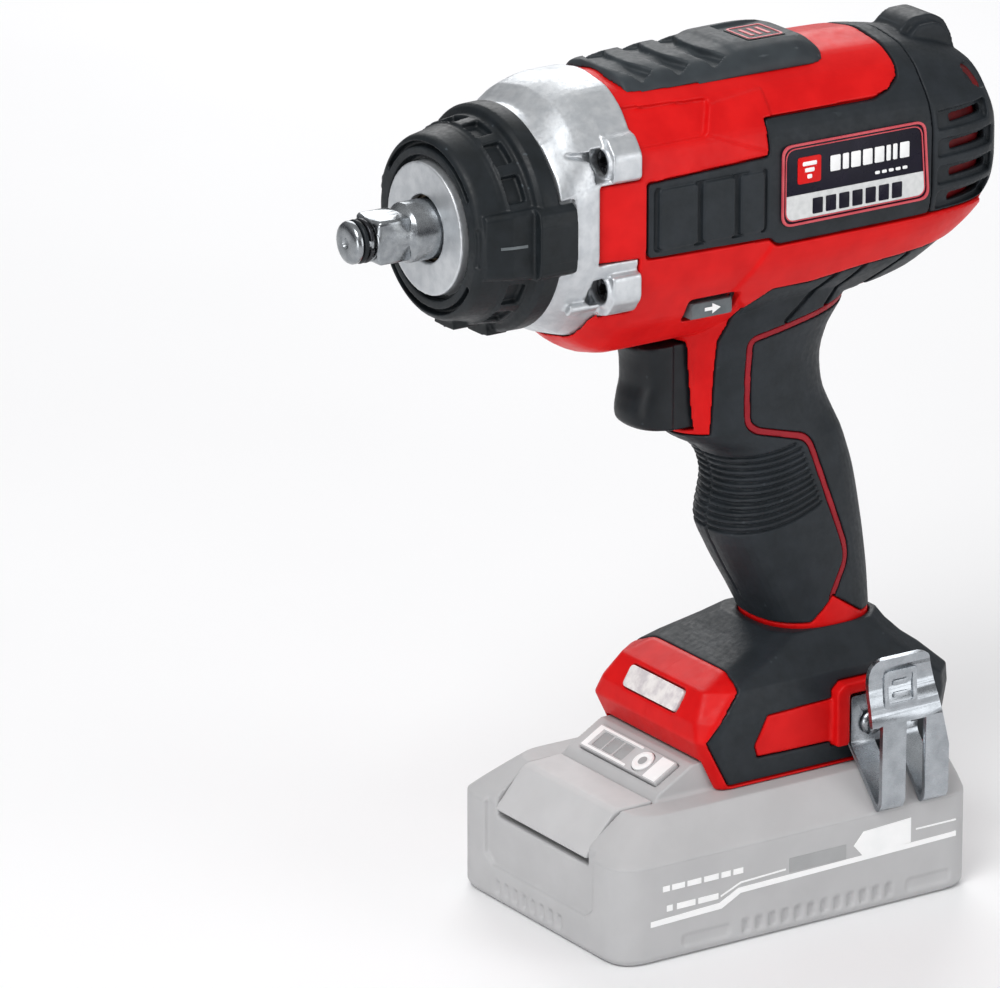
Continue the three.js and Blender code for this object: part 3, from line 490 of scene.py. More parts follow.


# After the name and the roughness: colours, the size of their clouds, the spread and size of the roughness
# clouds, then the size and depth of each relief. A third colour paints paler edges: partly wear, partly
# painted highlight.
material("red_nylon", 0.38, [(206, 14, 16), (218, 22, 22)], 9, (0.05, 2.5), (0.45, 0.012), (0.16, 0.006),
         specular=0.14)
# Red nylon darkened: painted shade for red seen inside recesses and behind vents.
material("shaded_red", 0.5, [(88, 6, 12), (110, 10, 16)], 4, (0.06, 2), (0.4, 0.012))
material("seam_red", 0.46, [(140, 14, 28), (154, 20, 34)], 5, (0.06, 2), (0.4, 0.01))
material("soft_overmould", 0.5, [(31, 36, 40), (38, 43, 48), (56, 62, 67)], 7, (0.06, 1.5), (0.5, 0.02),
         (0.2, 0.012))
material("pad_rubber", 0.52, [(48, 53, 57), (56, 62, 66), (84, 90, 94)], 6, (0.05, 1.5), (0.5, 0.02),
         (0.2, 0.012))
material("bumper_rubber", 0.46, [(20, 25, 28), (27, 32, 36), (74, 82, 88)], 5, (0.06, 1.2), (0.35, 0.012))
material("black_plastic", 0.42, [(22, 26, 30), (29, 34, 38), (54, 60, 65)], 6, (0.05, 1.5), (0.4, 0.01))
material("cast_aluminium", 0.42, [(192, 196, 200), (208, 211, 214)], 3.5, (0.08, 1), (0.5, 0.02),
         (0.22, 0.014), metallic=0.75)
material("machined_steel", 0.24, [(138, 142, 146), (156, 160, 163)], 2, (0.08, 0.6, (0.1, 1, 1)),
         (0.25, 0.003, (0.08, 1, 1)), metallic=1)
material("oxide_steel", 0.36, [(48, 49, 52), (60, 61, 64), (130, 130, 132)], 2, (0.08, 0.8), (0.2, 0.004),
         metallic=0.9)
material("hook_steel", 0.3, [(158, 163, 168), (176, 181, 186)], 5, (0.07, 0.7, (1, 1, 0.12)),
         (0.3, 0.003, (1, 1, 0.08)), metallic=1)
material("bearing_steel", 0.16, [(196, 197, 199), (210, 211, 212)], 3, (0.05, 0.8), (0.2, 0.002), metallic=1)
material("bronze", 0.36, [(104, 92, 78), (122, 108, 90)], 1.5, (0.06, 0.8), (0.15, 0.006), metallic=1)
material("motor_core", 0.4, [(150, 92, 48), (182, 116, 62)], 0.7, (0.08, 0.6), (0.5, 0.05, (0.3, 4, 4)),
         metallic=0.8)
material("slider_grey", 0.42, [(92, 98, 101), (104, 110, 113)], 4, (0.05, 1.2), (0.4, 0.01))
material("battery_shell", 0.52, [(182, 182, 183), (187, 187, 188)], 14, (0.05, 2), (0.45, 0.014),
         (0.18, 0.006))
material("battery_light", 0.5, [(192, 192, 193), (197, 197, 198)], 12, (0.05, 2), (0.45, 0.012))
material("battery_grey", 0.5, [(162, 163, 164), (168, 169, 170)], 8, (0.05, 2), (0.3, 0.008))
material("white_print", 0.4, [(244, 245, 245), (250, 250, 250)], 6, (0.04, 2), (0.3, 0.004))
material("navy_foil", 0.3, [(12, 10, 26), (18, 14, 34)], 10, (0.04, 4), (0.3, 0.002), specular=0.15)
material("silver_foil", 0.34, [(202, 204, 204), (216, 217, 217)], 2, (0.05, 0.7, (12, 1, 1)),
         (0.2, 0.002, (12, 1, 1)), metallic=0.5)
material("pink_rim", 0.35, [(198, 74, 84), (208, 88, 96)], 5, (0.05, 2), (0.3, 0.003))
material("milky_lens", 0.28, [(208, 202, 204), (238, 234, 232)], 3.6, (0.05, 2), (0.8, 0.008), coat=0.3,
         clouds=(0.38, 0.62))
material("circuit_green", 0.4, [(24, 84, 48), (34, 104, 60)], 2, (0.05, 1), (0.6, 0.03))
material("cell_blue", 0.35, [(44, 96, 158), (54, 110, 172)], 8, (0.05, 2), (0.3, 0.004))


def finish_piece(piece, name, look, body="housing", nodes=()):
    """Names a piece, gives it its material and says what it rides on and stands for."""
    piece.name = name
    piece.data.name = name
    piece.data.materials.clear()
    piece.data.materials.append(LOOKS[look])
    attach(piece, body)
    if nodes:
        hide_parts(*nodes)
    return piece


# ---------------------------------------------------------------- outer forms
def barrel(inset=0.0, rows=BARREL, step=3.0):
    rings = []
    for x, half, rise, fall in smooth_table(rows, step):
        half, rise, fall = half - inset, rise - inset, fall - inset
        left = [(half * a, rise * h) for a, h in ROOF] + [(half * a, -fall * h) for a, h in BELLY]
        right = [(-y, z) for y, z in reversed(left[1:-1])]
        back = inset * min(max((-60 - x) / 8, 0), 1)
        rings.append([(x + back, y, AXIS_Z + z) for y, z in rounded(left + right, 3.2, 3)])
    return loft(rings)


def handle(inset=0.0, step=3.0):
    power = 2 / HANDLE_ROUNDNESS
    rings = []
    for z, front, back, half in smooth_table(HANDLE, step):
        depth = (front - back) / 2 - inset
        ring = []
        for cosine, sine in circle(1, 48):
            x = (front + back) / 2 + depth * math.copysign(abs(cosine) ** power, cosine)
            ring.append((x, (half - inset) * math.copysign(abs(sine) ** power, sine), z))
        rings.append(ring)
    return loft(rings)


def foot(inset=0.0, rows=FOOT):
    rings = []
    for z, front, front_half, half, corner, rear in rows:
        z = min(z, rows[-1][0] - max(inset, 0))
        side = [(front - inset, front_half - inset * 0.6), (front - corner - inset * 0.5, half - inset),
                (rear + 7, half - inset), (rear + inset, half - 7)]
        plan = side + [(x, -y) for x, y in reversed(side)]
        rings.append([(x, y, z) for x, y in rounded(plan, 1.5, 3)])
    return loft(rings)


def body_form(inset=0.0):
    return join(barrel(inset), handle(inset))


def room(inner, outline):
    """The hollow cut for an overmoulded pad: everything in the outline outside the inner form."""
    return cut(side_prism(outline), inner)


def pad(outer, inner, outline):
    """An overmoulded pad: what lies between two forms inside an outline."""
    return keep(cut(outer, inner), side_prism(outline))


def pair(piece, name, look, slot, nodes, **mould):
    """Moulds a symmetrical form and splits it into its left and right pieces, a hair apart."""
    moulded(piece, **mould)
    for half, (side, word) in zip((piece, copy_of(piece)), SIDES):
        keep(half, side_block(side, -FAR, FAR, 0.02, FAR, -FAR, 2 * FAR))
        finish_piece(shade(half, 70), f"{word}_{name}", look,
                     nodes=[f"{word}_{node}" for node in nodes])


# ---------------------------------------------------------------- hammer case
def case_form(clearance=0.0):
    profile = [(x + clearance, r + clearance)
               for x, r in ((74.7, 31), (78, 26), (82, 26), (83.5, 22), (96, 22), (96, 19))]
    nose = turned([(70, 31 + clearance), *profile, (CASE_FRONT_X, 19 + clearance)])
    ear = [(19, 13.6 - clearance), (31.2 + clearance, 13.6 - clearance), (31.2 + clearance, 21 + clearance),
           (27.6 + clearance, 25.6 + clearance), (19, 27.6 + clearance)]
    ears = [prism(rounded([(side * y, AXIS_Z + up * z) for y, z in ear], 1.2, 3), "x",
                  CASE_REAR_X - clearance, 58)
            for side, up in CORNERS]
    return join(barrel(-clearance, CASE_BODY, 2.0), nose, *ears)


def hammer_case():
    bosses = [turned([(49, 5.2), (58.2, 5.2), (58.9, 4.6)], 40, y, z) for y, z in CASE_SCREWS]
    rib = [(25.4, -24.4), (28.2, -22), (26.9, -20.4), (24, -22.8)]
    ribs = [prism(rounded([(side * y, AXIS_Z + z) for y, z in rib], 0.8, 3), "x", 60, 70) for side in (1, -1)]
    pockets = []
    for side, up in CORNERS:
        plan = [(57.8, 20.6), (59.6, 20.6), (63.4, 27), (63.4, 45), (57.8, 45)]
        plan = rounded([(x, side * y) for x, y in plan], 1.0, 3)
        pockets.append(prism(plan, "z", *sorted((AXIS_Z + up * 14.2, AXIS_Z + up * 23))))
        groove = [(59.4, 19.2), (59.4, 22.4), (72, 22.9), (72, 22.1)]
        pockets.append(on_side(side, [(x, AXIS_Z + up * z) for x, z in groove], 24.9, 45))
    casting = join(cut(case_form(), *pockets), *bosses, *ribs)
    hollow = turned([(40, 24.5), (76, 24.5), (76, 18.5), (84, 18.5), (84, 11), (98, 11), (98, 9.7),
                     (102, 9.7)], 64)
    notches = [side_block(side, 40, 61.9, 25.9, 45, AXIS_Z - 10, AXIS_Z + 13) for side in (1, -1)]
    flats = [side_block(side, 70.6, 90, 29.6, 45, AXIS_Z - 11.2, AXIS_Z + 11.2) for side in (1, -1)]
    seats = [rod(54.3, 64, 3.9, y, z, 32) for y, z in CASE_SCREWS]
    holes = [rod(40, 56, 2.2, y, z, 24) for y, z in CASE_SCREWS]
    cut(casting, hollow, *notches, *flats, *seats, *holes)
    moulded(casting, 0.45, 2, 0.4)
    finish_piece(casting, "case_casting", "cast_aluminium", nodes=["hammer_case"])


def case_screws():
    for i, (y, z) in enumerate(CASE_SCREWS, 1):
        head = turned([(54.6, 3.4), (57.1, 3.4), (57.4, 3.0), (57.4, 0)], 40, y, z)
        shank = turned([(32, 0), (32, 1.5), (32.6, 1.9), (55, 1.9)], 24, y, z)
        lobes = [rod(55.6, 58, 0.75, p, q, 16) for p, q in circle(1.15, 6, y, z)]
        screw = cut(join(head, shank), rod(55.6, 58, 1.35, y, z, 24), *lobes)
        finish_piece(bevelled(screw, 0.12, 2), f"cap_screw_{i}", "oxide_steel",
                     nodes=[f"case_screw_{i}"])


def sector_block(x0, x1, inner, outer, centre, width, steps=12):
    a, b = centre - width / 2, centre + width / 2
    outline = arc(outer, a, b, steps, 0, AXIS_Z) + arc(inner, b, a, steps, 0, AXIS_Z)
    return prism(outline, "x", x0, x1)


def nose_bumper():
    band = turned([
        (75.2, 17), (75.2, 31.6), (75.8, 32.5), (80.8, 32.4), (82.2, 31.4), (82.7, 29.6), (89.6, 28.8),
        (90.2, 27.9), (91.0, 27.9), (91.5, 27.6), (97.4, 26.5), (98.6, 25.9), (99.3, 24.8), (99.3, 20.6),
        (96.4, 20.5), (96.4, 17)], 128)
    face = [(24, -10.4), (30.4, -10.4), (32.7, -9.0), (33.3, -5), (33.3, 5), (32.7, 9.0), (30.4, 10.4),
            (24, 10.4)]
    straps = []
    for side in (1, -1):
        outline = rounded([(side * y, AXIS_Z + z) for y, z in face], 0.8, 3)
        lip = keep(prism(outline, "x", 71, 77), side_block(side, 60, 90, 29.9, 45, 0, 400))
        front = []
        for x, out, high in ((83, 30.1, 10.2), (90, 29.2, 9.8), (97.4, 26.9, 9.2)):
            front.append([(x, side * y, AXIS_Z + z) for y, z in (
                (20, -high), (out - 1, -high), (out, 1.2 - high), (out, high - 1.2), (out - 1, high),
                (20, high))])
        straps += [prism(outline, "x", 75.6, 83.4), lip, loft(front)]
    humps = [sector_block(77, 83.6, 26, 33.2, 270, 22), sector_block(86, 94, 24, 29.8, 270, 20)]
    keepers = [side_block(side, 70.9, 77.2, 29.9, 45, AXIS_Z - 10.9, AXIS_Z + 10.9) for side in (1, -1)]
    bumper = cut(join(band, *straps, *humps), cut(case_form(GAP), *keepers))
    notches = [sector_block(84.2, 89.6, 27.3, 31, angle, 16, 6)
               for angle in (32, 55, 78, 102, 125, 148, 212, 235, 305, 328)]
    rims = [sector_block(97.0, 100.5, 23.0, 24.5, centre, 118, 30) for centre in (90, 270)]
    steps = [sector_block(98.2, 100.5, 24.3, 27.5, centre, 26, 10) for centre in (0, 180)]
    moulded(cut(bumper, *notches, *rims, *steps), 0.4, 2, 0.4)
    finish_piece(bumper, "bumper_ring", "bumper_rubber", nodes=["nose_bumper"])
    for side, name in SIDES:
        dash = loft([[(x, side * y, AXIS_Z + z) for y, z in ((26, -0.4), (out, -0.4), (out, 0.4), (26, 0.4))]
                     for x, out in ((85.6, 29.95), (90, 29.4), (93.4, 28.35))])
        finish_piece(shade(dash), f"{name}_strap_mark", "slider_grey")


# ---------------------------------------------------------------- anvil and its rings
def anvil():
    core = turned([
        (76, 0), (76, 9.0), (76.4, 9.4), (82.6, 9.4), (83, 9), (83, 8.6), (107.2, 8.6), (107.8, 8.3),
        (109.4, 6.5), (119.2, 6.25), (119.5, 5.9), (119.8, 4.6), (123.6, 4.6), (123.9, 5.6), (124.2, 6.1),
        (125, 6.1), (125.7, 5.7), (126.2, 4.8), (126.4, 3.4), (126.3, 1.6), (125.7, 1.2), (125.5, 0)])
    half = SQUARE / 2
    square = rectangle(-half, half, -half, half, 1.3)
    rings = []
    for x, inset in ((108.2, 0.9), (108.8, 0.25), (109.3, 0), (118.2, 0), (118.9, 0.35), (119.4, 1.1)):
        shrink = 1 - inset / half
        rings.append([(x, y * shrink, AXIS_Z + z * shrink) for y, z in square])
    lugs = [sector_block(76, 83, 8.4, 17.5, angle, 42) for angle in (0, 180)]
    piece = cut(join(core, loft(rings), *lugs), rod(70, 90, 5.3))
    finish_piece(bevelled(piece, 0.15, 2, 40), "anvil_drive", "machined_steel", "anvil",
                 ["anvil"])

    wire = [(120.9, y, z) for y, z in arc(5.62, 12, 348, 60, 0, AXIS_Z)]
    finish_piece(shade(pipe(wire, 0.72, 16)), "snap_ring", "oxide_steel", "anvil",
                 ["friction_ring"])
    hoop = [(122.7, y, z) for y, z in circle(5.5, 72, 0, AXIS_Z)]
    finish_piece(shade(pipe(hoop, 0.78, 16, True)), "seal_ring", "bumper_rubber", "anvil",
                 ["anvil_o_ring"])


# ---------------------------------------------------------------- springs
def coil(x0, x1, radius, wire, turns, z):
    steps = round(turns * 40)
    line = []
    for i in range(steps + 1):
        angle = 2 * math.pi * turns * i / steps
        x = x0 + wire / 2 + (x1 - x0 - wire) * i / steps
        line.append((x, radius * math.cos(angle), z + radius * math.sin(angle)))
    return pipe(line, wire / 2 - 0.03)


def spring(name, node, body, size):
    """A coil of wire that rides on a body in place of a spring node."""
    piece = finish_piece(shade(coil(*size)), name, "bearing_steel", body, [node])
    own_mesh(piece)


# ---------------------------------------------------------------- housing
def grip_region(by=0.0):
    """The overmoulded region of the handle, less the red triangle low on its back."""
    return cut(side_prism(grow(GRIP_OUTLINE, by)), side_prism(grow(SEAM_TRIANGLE, -by)))


def seam_line(width):
    return side_prism(ribbon(rounded(SEAM, 2.2, 4, False), width))


def case_hole():
    """The space that the hammer case takes from the housing, except the two side tongues."""
    return cut(case_form(GAP), *[side_block(side, -FAR, 61.6, 25.9, 60, AXIS_Z - 10, AXIS_Z + 13)
                                 for side in (1, -1)])


def lens_block(half_width, half_height, inward, outward, radius=1.6):
    lean = math.radians(31)
    plan = rectangle(-half_width, half_width, -half_height, half_height, radius, 5)
    rings = []
    for depth in (-inward, outward):
        rings.append([(21.6 + depth * math.cos(lean) - up * math.sin(lean), across,
                       65 + depth * math.sin(lean) + up * math.cos(lean)) for across, up in plan])
    return loft(rings)


def bracket(side):
    return on_side(side, rounded(BRACKET_OUTLINE, 0.7, 2), 24, 30.8)


def housing():
    trunk = cut(barrel(), block(-FAR, COVER_FRONT_X, -FAR, FAR, COVER_FLOOR_Z, 2 * FAR),
                block(CASE_REAR_X - GAP, FAR, -FAR, FAR, AXIS_Z - 24, 2 * FAR))
    tongues = [keep(barrel(), side_block(side, 40, 61.6, 26.2, 40, AXIS_Z - 9.7, AXIS_Z + 12.7))
               for side in (1, -1)]
    band = pad(barrel(-0.7), barrel(2), [
        (3.5, 203.2), (-74, 203.2), (-79, 199), (-72, 190.5), (-60, 191.4), (-13.7, 187.5), (0, 188),
        (7.5, 183.5), (13.5, 190.5)])
    shoulder = pad(barrel(-0.6), barrel(2), SHOULDER_OUTLINE)
    whole = join(trunk, *tongues, band, shoulder, handle(), foot(), bracket(1), bracket(-1))

    inner_rows = [(60 if x == 48 else x, half, rise, fall) for x, half, rise, fall in BARREL[2:]]
    hollow = cut(join(barrel(INSIDE, inner_rows), keep(handle(INSIDE), block(-FAR, FAR, -FAR, FAR, 70, 300)),
                      foot(3.2, [(53.2, *FOOT[1][1:]), *FOOT[2:6]])),
                 block(CASE_REAR_X + 4, 80, -60, 60, 100, AXIS_Z - 20))
    cut(whole, case_hole(), hollow, both_sides(-52, 40, CHANNEL_HALF, 30, CHANNEL_TOP_Z))
    bosses = [keep(cut(rod(30, CASE_REAR_X - GAP, 4.2, y, z, 24), rod(20, 60, 2.2, y, z, 24)), barrel())
              for y, z in CASE_SCREWS]
    join(whole, *bosses)

    grips = cut(grip_region(GAP), body_form(SKIN + GAP))
    side_pads = room(barrel(SKIN + GAP), grow(SIDE_PAD_OUTLINE, 2 * GAP))
    skins = cut(room(foot(SKIN + GAP), grow(FOOT_SKIN_OUTLINE, GAP)),
                side_prism(grow(FOOT_INSERT_OUTLINE, -GAP)), side_prism(BRACKET_OUTLINE), handle())
    windows = room(barrel(2.2), rounded(SELECTOR_OUTLINE, 1.5, 4))
    slot = both_sides(12.6, 27.2, 60, 183.4, 189.2)
    lens = lens_block(13.95, 3.85, 1.5, 4, 1.9)
    scoop = room(barrel(1.3), rounded(SCOOP_OUTLINE, 1.2, 3))
    screws = [rod(20, 60, 2.2, y, z, 24) for y, z in CASE_SCREWS]
    holes = [both_sides(0.5, 40, 9.9, 145.2, 172.2), both_sides(-22.4, -1.6, 15.4, 50, 56),
             side_prism(circle(2, 24, *HOOK_SCREW), -60, 60)]
    cut(whole, grips, side_pads, skins, windows, slot, lens, scoop, *screws, *holes)
    rails = [side_block(side, -50, 10, 21.6, 25, 43.4, 45.2) for side in (1, -1)]
    join(whole, *rails)
    pair(whole, "shell", "red_nylon", "red_nylon", ["housing"], voxel=0.5, relax=4, share=0.35)


def grips():
    whole = keep(cut(body_form(-0.25), body_form(SKIN)), grip_region())
    zone = cut(side_prism([(30, 108), (30, 143), (-1.5, 141.6), (-17.6, 137), (-25.4, 116), (-24, 108)]),
               body_form(0.8))
    grooves = []
    for i in range(12):
        start = 111.5 + 2.1 * i
        line = [(18 - 3.6 * k, start + 0.075 * max(0, k - 3) ** 2 * (1.2 - 0.03 * i)) for k in range(13)]
        grooves.append(keep(side_prism(ribbon(line, 1.1)), copy_of(zone)))
    drop(zone)
    tail = [cut(side_prism(ribbon(line, 1.5)), body_form(1.1)) for line in TAIL_GROOVES]
    parting = cut(both_sides(-8, 30, 0.45, 82, 143.4), handle(0.7))
    cut(whole, seam_line(SEAM_WIDTH + 0.5), *grooves, *tail, parting, both_sides(0.5, 40, 9.9, 145.2, 172.2))
    pair(whole, "grip_pad", "soft_overmould", "soft_overmould", ["grip"], voxel=0.38, relax=1, share=0.35)

    inlay = keep(cut(body_form(0.05), body_form(SKIN)), keep(grip_region(-0.2), seam_line(SEAM_WIDTH)))
    pair(inlay, "seam", "seam_red", "red_nylon", [], voxel=0.3, relax=3, share=0.4)


def side_panels():
    whole = pad(barrel(-0.1), barrel(SKIN), rounded(SIDE_PAD_OUTLINE, 1.2, 3))
    cut(whole, room(barrel(0.95), rectangle(5.6, 43.8, 208.2, 226.8, 1.4, 3)))
    for front, back in PAD_BLOCKS:
        join(whole, pad(barrel(-0.5), barrel(1.2), rectangle(front, back, 208.9, 226.1, 0.9, 3)))
    pair(whole, "panel", "soft_overmould", "soft_overmould", ["side_pad"], voxel=0.38, relax=1, share=0.3)


def badge(side, name):
    """A generic name plate: rims, dark field, silver strip and plain blocks in place of any wording."""
    def rim(outer, inner, high):
        hole = on_side(side, rounded(grow(BADGE_OUTLINE, -inner), 3.2, 6), 20, 50)
        return cut(on_side(side, rounded(grow(BADGE_OUTLINE, -outer), 3.4, 6), 31.4, high), hole)

    def blocks(boxes, high):
        tiles = [on_side(side, rectangle(x - wide, x, z, z + tall, 0.35, 3), 31.6, high)
                 for x, z, wide, tall in boxes]
        return bevelled(join(*tiles), 0.06, 2)

    base = bevelled(on_side(side, rounded(BADGE_OUTLINE, 3.6, 6), 30.9, 31.5), 0.15, 2)
    finish_piece(base, f"{name}_badge_plate", "navy_foil", nodes=[f"{name}_badge"])
    rims = join(rim(0, 0.6, 31.95), rim(1.2, 1.5, 31.75))
    finish_piece(shade(rims), f"{name}_badge_rims", "pink_rim")
    band = keep(on_side(side, rounded(grow(BADGE_OUTLINE, -1.6), 2.6, 6), 31.4, 31.7),
                block(-FAR, FAR, -60, 60, 100, 217.4))
    finish_piece(shade(band), f"{name}_badge_strip", "silver_foil")
    square = on_side(side, rectangle(-12.2, -4.2, 220.4, 228.2, 0.8, 3), 31.4, 31.75)
    finish_piece(bevelled(square, 0.08, 2), f"{name}_badge_square", "red_nylon")
    marks = [(-5.8, 225.6, 4.8, 1.2), (-6.6, 223.7, 3.2, 1.2), (-7.4, 221.8, 1.6, 1.2)]
    marks += [(x, 222.6, wide, 4.6) for x, wide in (
        (-15.4, 3.4), (-19.7, 2), (-22.6, 3.2), (-26.7, 3.2), (-30.8, 3.2), (-34.9, 1.4), (-37.2, 1.4),
        (-39.6, 3.2))]
    marks += [(x, 219.2, 1.6, 0.9) for x in (-31, -33.4, -35.8, -38.2, -40.6)]
    finish_piece(blocks(marks, 31.9), f"{name}_badge_marks", "white_print")
    dark = [(x, 211.1, 3.5, 4.6) for x in (-9.4, -14, -18.6, -23.2, -27.8, -32.4, -37)]
    finish_piece(blocks(dark, 31.85), f"{name}_badge_blocks", "navy_foil")


def rear_cover():
    hump_line = rounded([(-54, 247), (-58.6, 252.6), (-61.6, 254.8), (-68.4, 255.1), (-73, 252.8),
                         (-76, 247.4),
                         (-78, 238), (-54, 238)], 2.0)
    humps = [side_prism(hump_line, -6.4, 6.4), side_prism(grow(hump_line, -2), -9.4, 9.4)]
    zone = block(-FAR, COVER_FRONT_X - GAP, -FAR, FAR, COVER_FLOOR_Z + GAP, 2 * FAR)
    shell = keep(cut(join(barrel(), *humps), barrel(WALL + 0.2)), zone)

    def corner(side, by, radius, x0, x1):
        outline = grow([(15.0, 242.0), (18.4, 242.8), (22.2, 239.2), (22.3, 235.2), (18.4, 234.6)], by)
        return prism(rounded([(side * y, z) for y, z in outline], radius, 5), "x", x0, x1)

    vents = []
    for rear, z in ((-73.4, 230.5), (-75.4, 222.5), (-75.4, 214.5), (-75.4, 207)):
        for side in (1, -1):
            vents.append(on_side(side, rectangle(rear, -59.4, z - 1.2, z + 1.2, 0.9, 3), 10, 45))
            recess = on_side(side, rectangle(rear - 1.6, -54.2, z - 2.7, z + 2.7, 1.0, 3), 10, 45)
            vents.append(cut(recess, barrel(1.4)))
    corners = [cut(corner(side, 0, 2.2, -80, -58), barrel(1.5)) for side in (1, -1)]
    seat = [cut(rod(-80, -64.4, 12.6), rod(-81, -63, 7.4)), cut(rod(-64.4, -57.6, 12.6), rod(-66, -57, 9.8))]
    join(cut(shell, *vents, *corners), *seat)
    moulded(shell, 0.45, 3, 0.4)
    finish_piece(shell, "rear_cap", "soft_overmould", nodes=["rear_cover"])
    # A dark red sheet behind the vents: painted shade inside the rear cap.
    liner = keep(cut(barrel(WALL + 0.6), barrel(WALL + 1.4)), block(-77, -58, -FAR, FAR, 204.5, 247))
    finish_piece(shade(liner), "vent_liner", "shaded_red")
    # Dark red rings in the corner recesses: painted shade.
    for side, name in SIDES:
        ring = keep(cut(barrel(0.9), barrel(1.9)),
                    cut(corner(side, 0.1, 2.2, -80, -58), corner(side, -0.8, 1.7, -81, -57)))
        finish_piece(shade(ring), f"{name}_corner_ring", "shaded_red")


def top_pad():
    rows = [(45, 36.6, 15), (44.2, 38.1, 16), (43, 39.0, 16.6), (20, 40.0, 17.3), (6.8, 40.3, 17.5),
            (3.4, 41.2, 17.6), (-10, 41.4, 17.6), (-17, 41.0, 17.5), (-22, 39.4, 17), (-24.6, 37.4, 16.4),
            (-25.6, 36, 15)]
    outer, floor = [], []
    for x, top, half in smooth_table(rows, 1.5):
        section = [(half, 28), (half, top - 5.6), (half - 3.4, top - 1.8), (half * 0.45, top - 0.3),
                   (-half * 0.45, top - 0.3), (3.4 - half, top - 1.8), (-half, top - 5.6), (-half, 28)]
        outer.append([(x, y, AXIS_Z + z) for y, z in rounded(section, 2.0)])
        floor.append([(x, y, AXIS_Z + z) for y, z in (
            (30, 0), (30, top - 6), (half * 0.5, top - 2.7), (-half * 0.5, top - 2.7), (-30, top - 6),
            (-30, 0))])
    whole = cut(loft(outer), barrel(-0.05))
    floor = loft(floor)
    grooves = []
    for x, half in ((36.6, 13.6), (24.4, 14), (12.4, 14.2)):
        line = [(x - 1.6, -half), (x + 2.4, -half * 0.5), (x + 2.4, half * 0.5), (x - 1.6, half)]
        groove = prism(ribbon(rounded(line, 5, 5, False), 6.0), "z", 240, 300)
        grooves.append(cut(groove, copy_of(floor), barrel(-0.9)))
    drop(floor)
    cut(whole, *grooves, prism(rectangle(-20.5, -1.5, -9.5, 9.5, 2.5, 5), "z", AXIS_Z + 39.6, 300))
    moulded(whole, 0.42, 3, 0.4)
    finish_piece(whole, "top_rest", "pad_rubber", nodes=["top_pad"])
    level = AXIS_Z + 39.2
    tile = prism(rectangle(-17.6, -4.4, -6.8, 6.8, 1.6, 5), "z", level, level + 0.65)
    finish_piece(bevelled(tile, 0.12, 2), "top_icon_tile", "bumper_rubber")
    rim = cut(prism(rectangle(-17, -5, -6.2, 6.2, 1.4, 5), "z", level + 0.5, level + 0.8),
              prism(rectangle(-16.4, -5.6, -5.6, 5.6, 1.1, 5), "z", level, level + 2))
    dashes = [block(x - 1.1, x, -3.4, 3.4, level + 0.5, level + 0.8) for x in (-7.6, -10.4, -13.2)]
    finish_piece(shade(join(rim, *dashes)), "top_icon_lines", "pink_rim")


def foot_skins():
    whole = keep(cut(foot(-0.15), foot(SKIN)), side_prism(FOOT_SKIN_OUTLINE))
    edge = [(9, 74), (10.4, 69.4), (22.4, 56.8), (14.6, 42.2), (13, 39)]
    chamfers = [loft([[(x - back, side * y, z) for x, z in edge] + [(60, side * y, 39), (60, side * y, 74)]
                      for y, back in ((27.4, -0.6), (29, 4.6))]) for side in (1, -1)]
    cut(whole, side_prism(FOOT_INSERT_OUTLINE), side_prism(grow(BRACKET_OUTLINE, GAP)),
        side_prism(circle(2.4, 24, *HOOK_SCREW), -60, 60), handle(-GAP), *chamfers)
    pair(whole, "foot_pad", "soft_overmould", "soft_overmould", ["foot_skin"], voxel=0.42, relax=4,
         share=0.35)


# ---------------------------------------------------------------- trigger, selector, lamp
def trigger():
    profile = [(146.0, 26.5), (146.3, 30), (147.2, 32.4), (149, 33.7), (151, 33.9), (155, 33.3),
               (160.5, 32.2),
               (166, 32.4), (169, 33.0), (171.0, 33.7), (171.6, 33.4)]
    rings = []
    for z, front in smooth_table(profile, 0.8):
        section = [(9, -9.5), (front - 7.5, -9.5), (front - 3.4, -8.6), (front - 0.8, -5.2), (front, 0),
                   (front - 0.8, 5.2), (front - 3.4, 8.6), (front - 7.5, 9.5), (9, 9.5)]
        rings.append([(x, y, z) for x, y in rounded(section, 2.4, 5)])
    piece = cut(loft(rings), rod(0, 15, 4, 0, 159))
    ledges = [side_block(side, 9, 22.6, 9, 12, 140, 180) for side in (1, -1)]
    cut(piece, *ledges)
    moulded(piece, 0.35, 4, 0.4)
    finish_piece(piece, "trigger_blade", "black_plastic", "trigger", ["trigger"])


def direction_selector():
    bar = cut(both_sides(13, 26.8, 24.2, 184, 188.6), both_sides(18, 22, 6, 186.4, 190))
    caps = [on_side(side, rectangle(13.1, 26.7, 184.1, 188.5, 1.0), 23.8, 24.6) for side in (1, -1)]
    piece = bevelled(join(bar, *caps), 0.25, 3)
    finish_piece(piece, "direction_slider", "slider_grey", "direction_selector",
                 ["direction_selector"])
    # A thin black sheet on the floor of each selector pocket: painted shade of the pocket.
    well = cut(pad(barrel(1.75), barrel(2.15), rounded(grow(SELECTOR_OUTLINE, -0.1), 1.4, 4)),
               both_sides(12.5, 27.3, 60, 183.3, 189.3))
    finish_piece(shade(well), "selector_wells", "black_plastic")
    arrow = [(17.2, 185.9), (19.8, 185.9), (19.8, 184.9), (22.6, 186.4), (19.8, 187.9), (19.8, 186.9),
             (17.2, 186.9)]
    for side, name in SIDES:
        line = arrow if side < 0 else [(39.6 - x, z) for x, z in arrow]
        finish_piece(shade(on_side(side, line, 24.5, 24.72)), f"{name}_direction_arrow", "white_print",
                     "direction_selector")


def work_light():
    lens = bevelled(lens_block(13.55, 3.45, 1.2, 1.0, 1.6), 0.35, 3)
    finish_piece(lens, "lamp_lens", "milky_lens", nodes=["work_light_lens"])


# ---------------------------------------------------------------- belt hook
def strip(line, thickness, x0, x1):
    return prism(ribbon(rounded(line, 1.8, 5, False), thickness), "x", x0, x1)


